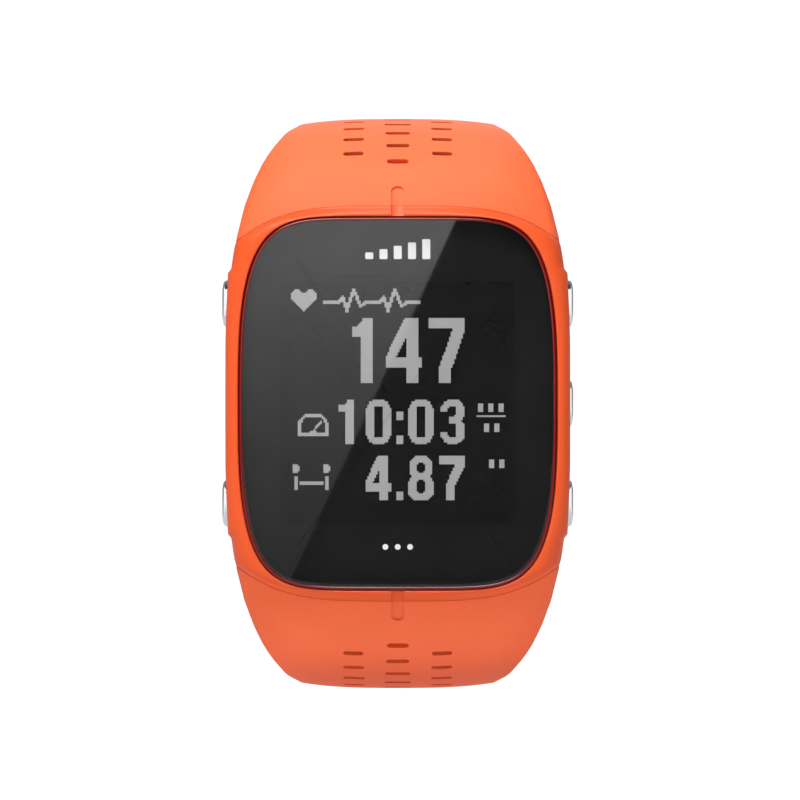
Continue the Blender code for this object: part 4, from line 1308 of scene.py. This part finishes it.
# ---------------------------------------------------------------- what stays as CAD gets its finish
FINISH = {
    mat_rubber: ["lens_gasket", "back_gasket", "sensor_barrier"] + [f"seal_{b}" for b in BUTTONS],
    mat_black: ["inner_chassis"] + [f"switch_{b}" for b in BUTTONS],
    mat_flex: ["lcd_flex_cable", "battery_lead", "left_switch_flex", "right_switch_flex"],
    mat_white: ["frontlight_bar"],
    mat_board: ["main_board", "sensor_board"],
    mat_chip: ["processor_chip"],
    mat_tin: ["shield_can", "vibration_motor"],
    mat_ceramic: ["gps_antenna"],
    mat_foil: ["battery_cell"],
    mat_tungsten: ["vibration_weight"],
    mat_diode: ["photodiode"],
}
for mat, names in FINISH.items():
    for name in names:
        materials = NODES[name].data.materials
        materials.clear()
        materials.append(mat)


# ---------------------------------------------------------------- studio (metres)
def flat(name, corners, mat):
    ob = raw_object(name, corners, [(0, 1, 2, 3)], mat, scale=1)
    return ob


def floor_material():
    """Pale floor: it takes soft shadows near the watch and fades to white further off."""
    mat = bpy.data.materials.new("studio_floor")
    tree = blank(mat)
    coord = add(tree, "TexCoord").outputs["Object"]
    distance = add(tree, "VectorMath", {0: coord}, operation="LENGTH").outputs["Value"]
    rise = map_range(tree, distance, start=0.62, end=1.15, low=0.12, high=0.5)
    rays = add(tree, "LightPath")
    # The glow is 6% weaker for the light it gives to other things.
    share = calc(tree, "MULTIPLY_ADD", rays.outputs["Is Diffuse Ray"], -0.06, 1.0)
    glow = add(tree, "Emission", {"Strength": calc(tree, "MULTIPLY", rise, share)})
    diffuse = add(tree, "BsdfDiffuse", {"Color": (0.45, 0.45, 0.45, 1)})
    pale = add(tree, "AddShader", {0: diffuse, 1: glow})
    mirrored = add(tree, "Emission", {"Color": (0.7, 0.7, 0.7, 1)})
    mix = {"Fac": rays.outputs["Is Glossy Ray"], 1: pale, 2: mirrored}
    add(tree, "OutputMaterial", {"Surface": add(tree, "MixShader", mix)})
    return mat


def card_material():
    """Light that falls off down the card, as a softbox seen in the glass."""
    mat = bpy.data.materials.new("reflection_card")
    tree = blank(mat)
    split = add(tree, "SeparateXYZ", {"Vector": add(tree, "TexCoord").outputs["Object"]})
    height = map_range(tree, split.outputs["Z"], start=0.0, end=1.0, low=-0.0158, high=0.0198)
    # Strength is 1.882 h^2 + 1.064 h + 0.5265.
    slope = calc(tree, "MULTIPLY_ADD", height, 1.882, 1.064)
    strength = calc(tree, "MULTIPLY_ADD", height, slope, 0.5265)
    glow = add(tree, "Emission", {"Strength": strength})
    add(tree, "OutputMaterial", {"Surface": glow})
    return mat


def plain_glow(name, strength):
    mat = bpy.data.materials.new(name)
    tree = blank(mat)
    glow = add(tree, "Emission", {"Strength": strength})
    add(tree, "OutputMaterial", {"Surface": glow})
    return mat


FLOOR_Z, FLOOR_HALF = -0.0303, 6
floor_corners = [(x * FLOOR_HALF, y * FLOOR_HALF, FLOOR_Z)
                 for x, y in ((-1, -1), (1, -1), (1, 1), (-1, 1))]
flat("studio_floor", floor_corners, floor_material())

# The card's right edge slants, from its top to its bottom.
CARD_LEFT, CARD_Y = -0.03, -0.060
CARD_TOP_RIGHT, CARD_TOP = 0.0095284, 0.026684
CARD_BOTTOM_RIGHT, CARD_BOTTOM = -0.01522, -0.027
card_corners = [
    (CARD_LEFT, CARD_Y, CARD_TOP), (CARD_TOP_RIGHT, CARD_Y, CARD_TOP),
    (CARD_BOTTOM_RIGHT, CARD_Y, CARD_BOTTOM), (CARD_LEFT, CARD_Y, CARD_BOTTOM),
]
card = flat("reflection_card", card_corners, card_material())

# White boards that only the polished buttons mirror: one in front, one at each side.
front_corners = [(-0.6, -0.5, -0.4), (0.6, -0.5, -0.4), (0.6, -0.5, 0.3), (-0.6, -0.5, 0.3)]
BOARDS = [flat("board_front", front_corners, plain_glow("board_front_glow", strength=1.3))]
for side, name in ((-1, "board_left"), (1, "board_right")):
    corners = [(side * 0.62, y, z) for y, z in ((-0.5, -0.3), (0.3, -0.3), (0.3, 0.25), (-0.5, 0.25))]
    BOARDS.append(flat(name, corners, plain_glow(f"{name}_glow", strength=1.2)))
for ob in [card] + BOARDS:
    for ray in ("camera", "diffuse", "transmission", "shadow", "volume_scatter"):
        setattr(ob, f"visible_{ray}", False)


def area(name, at, aim, size, power, glossy=True):
    light = bpy.data.lights.new(name, "AREA")
    light.energy, light.size = power, size
    ob = bpy.data.objects.new(name, light)
    ob.location = at
    ob.rotation_euler = (Vector(aim) - Vector(at)).to_track_quat("-Z", "Y").to_euler()
    SCENE.collection.objects.link(ob)
    ob.visible_camera = False
    ob.visible_glossy = glossy
    return ob


LIGHTS = [
    area("key_top", at=(-0.12, -0.3, 0.55), aim=(0, 0.01, 0.0), size=0.35, power=6.35),
    area("front_fill", at=(-0.15, -0.9, 0.05), aim=(0, 0, 0), size=0.7, power=1.25, glossy=False),
    area("right_fill", at=(0.6, -0.25, 0.05), aim=(0, 0, 0), size=0.3, power=0.08),
    area("back_fill", at=(0.1, 0.8, 0.5), aim=(0, 0.03, 0), size=0.6, power=1.6),
]


def linked(name, objects, state):
    group = bpy.data.collections.new(name)
    for ob in objects:
        group.objects.link(ob)
    for item in group.collection_objects:
        item.light_linking.link_state = state
    return group


def made_of(*mats):
    meshes = [ob for ob in SCENE.objects if ob.type == "MESH" and ob.data.materials]
    return [ob for ob in meshes if ob.data.materials[0] in mats]


# The buttons mirror the boards alone, and the clear covers take their gloss from what is under.
CAPS = [bpy.data.objects[f"button_{name}_cap"] for name in BUTTONS]
unlit = linked("not_lit_by_lamps", made_of(mat_lens, mat_window) + CAPS, "EXCLUDE")
for ob in LIGHTS:
    ob.light_linking.receiver_collection = unlit
under_glass = made_of(mat_mask, mat_cell, mat_digit, mat_icon, mat_ring)
card.light_linking.receiver_collection = linked("lit_by_card", under_glass, "INCLUDE")
caps_only = linked("lit_by_boards", CAPS, "INCLUDE")
for ob in BOARDS:
    ob.light_linking.receiver_collection = caps_only


def build_world():
    """White to the camera; as light, dim from the front (-Y) and brighter from the back."""
    world = bpy.data.worlds.new("studio")
    SCENE.world = world
    tree = blank(world)
    seen = add(tree, "Background", {"Color": (1, 1, 1, 1), "Strength": 1.1})
    split = add(tree, "SeparateXYZ", {"Vector": add(tree, "TexCoord").outputs["Generated"]})
    share = map_range(tree, split.outputs["Y"], start=0.0, end=1.0, low=-1, high=1)
    front, back = (0.07, 0.07, 0.07), (0.5, 0.5, 0.52)
    tone = colour_ramp(tree, share, front, back, start=0.3, end=0.75)
    lit = add(tree, "Background", {"Color": tone, "Strength": 0.5})
    camera_ray = add(tree, "LightPath").outputs["Is Camera Ray"]
    mix = add(tree, "MixShader", {"Fac": camera_ray, 1: lit, 2: seen})
    add(tree, "OutputWorld", {"Surface": mix})


build_world()
SCENE.view_settings.view_transform = "Standard"
SCENE.view_settings.look = "None"
SCENE.view_settings.exposure = 0.0

# Straight on and without foreshortening, as from far off: 84.2 mm across the view.
camera_data = bpy.data.cameras.new("front_camera")
camera_data.type = "ORTHO"
camera_data.ortho_scale = 0.0842105
camera = bpy.data.objects.new("front_camera", camera_data)
# The view's middle is a little right of and above that of the lens.
camera.location = (0.23684 * MM, -0.45, 0.36842 * MM)
camera.rotation_euler = (math.pi / 2, 0, 0)
camera_data.clip_start, camera_data.clip_end = 0.01, 30.0
SCENE.collection.objects.link(camera)
SCENE.camera = camera
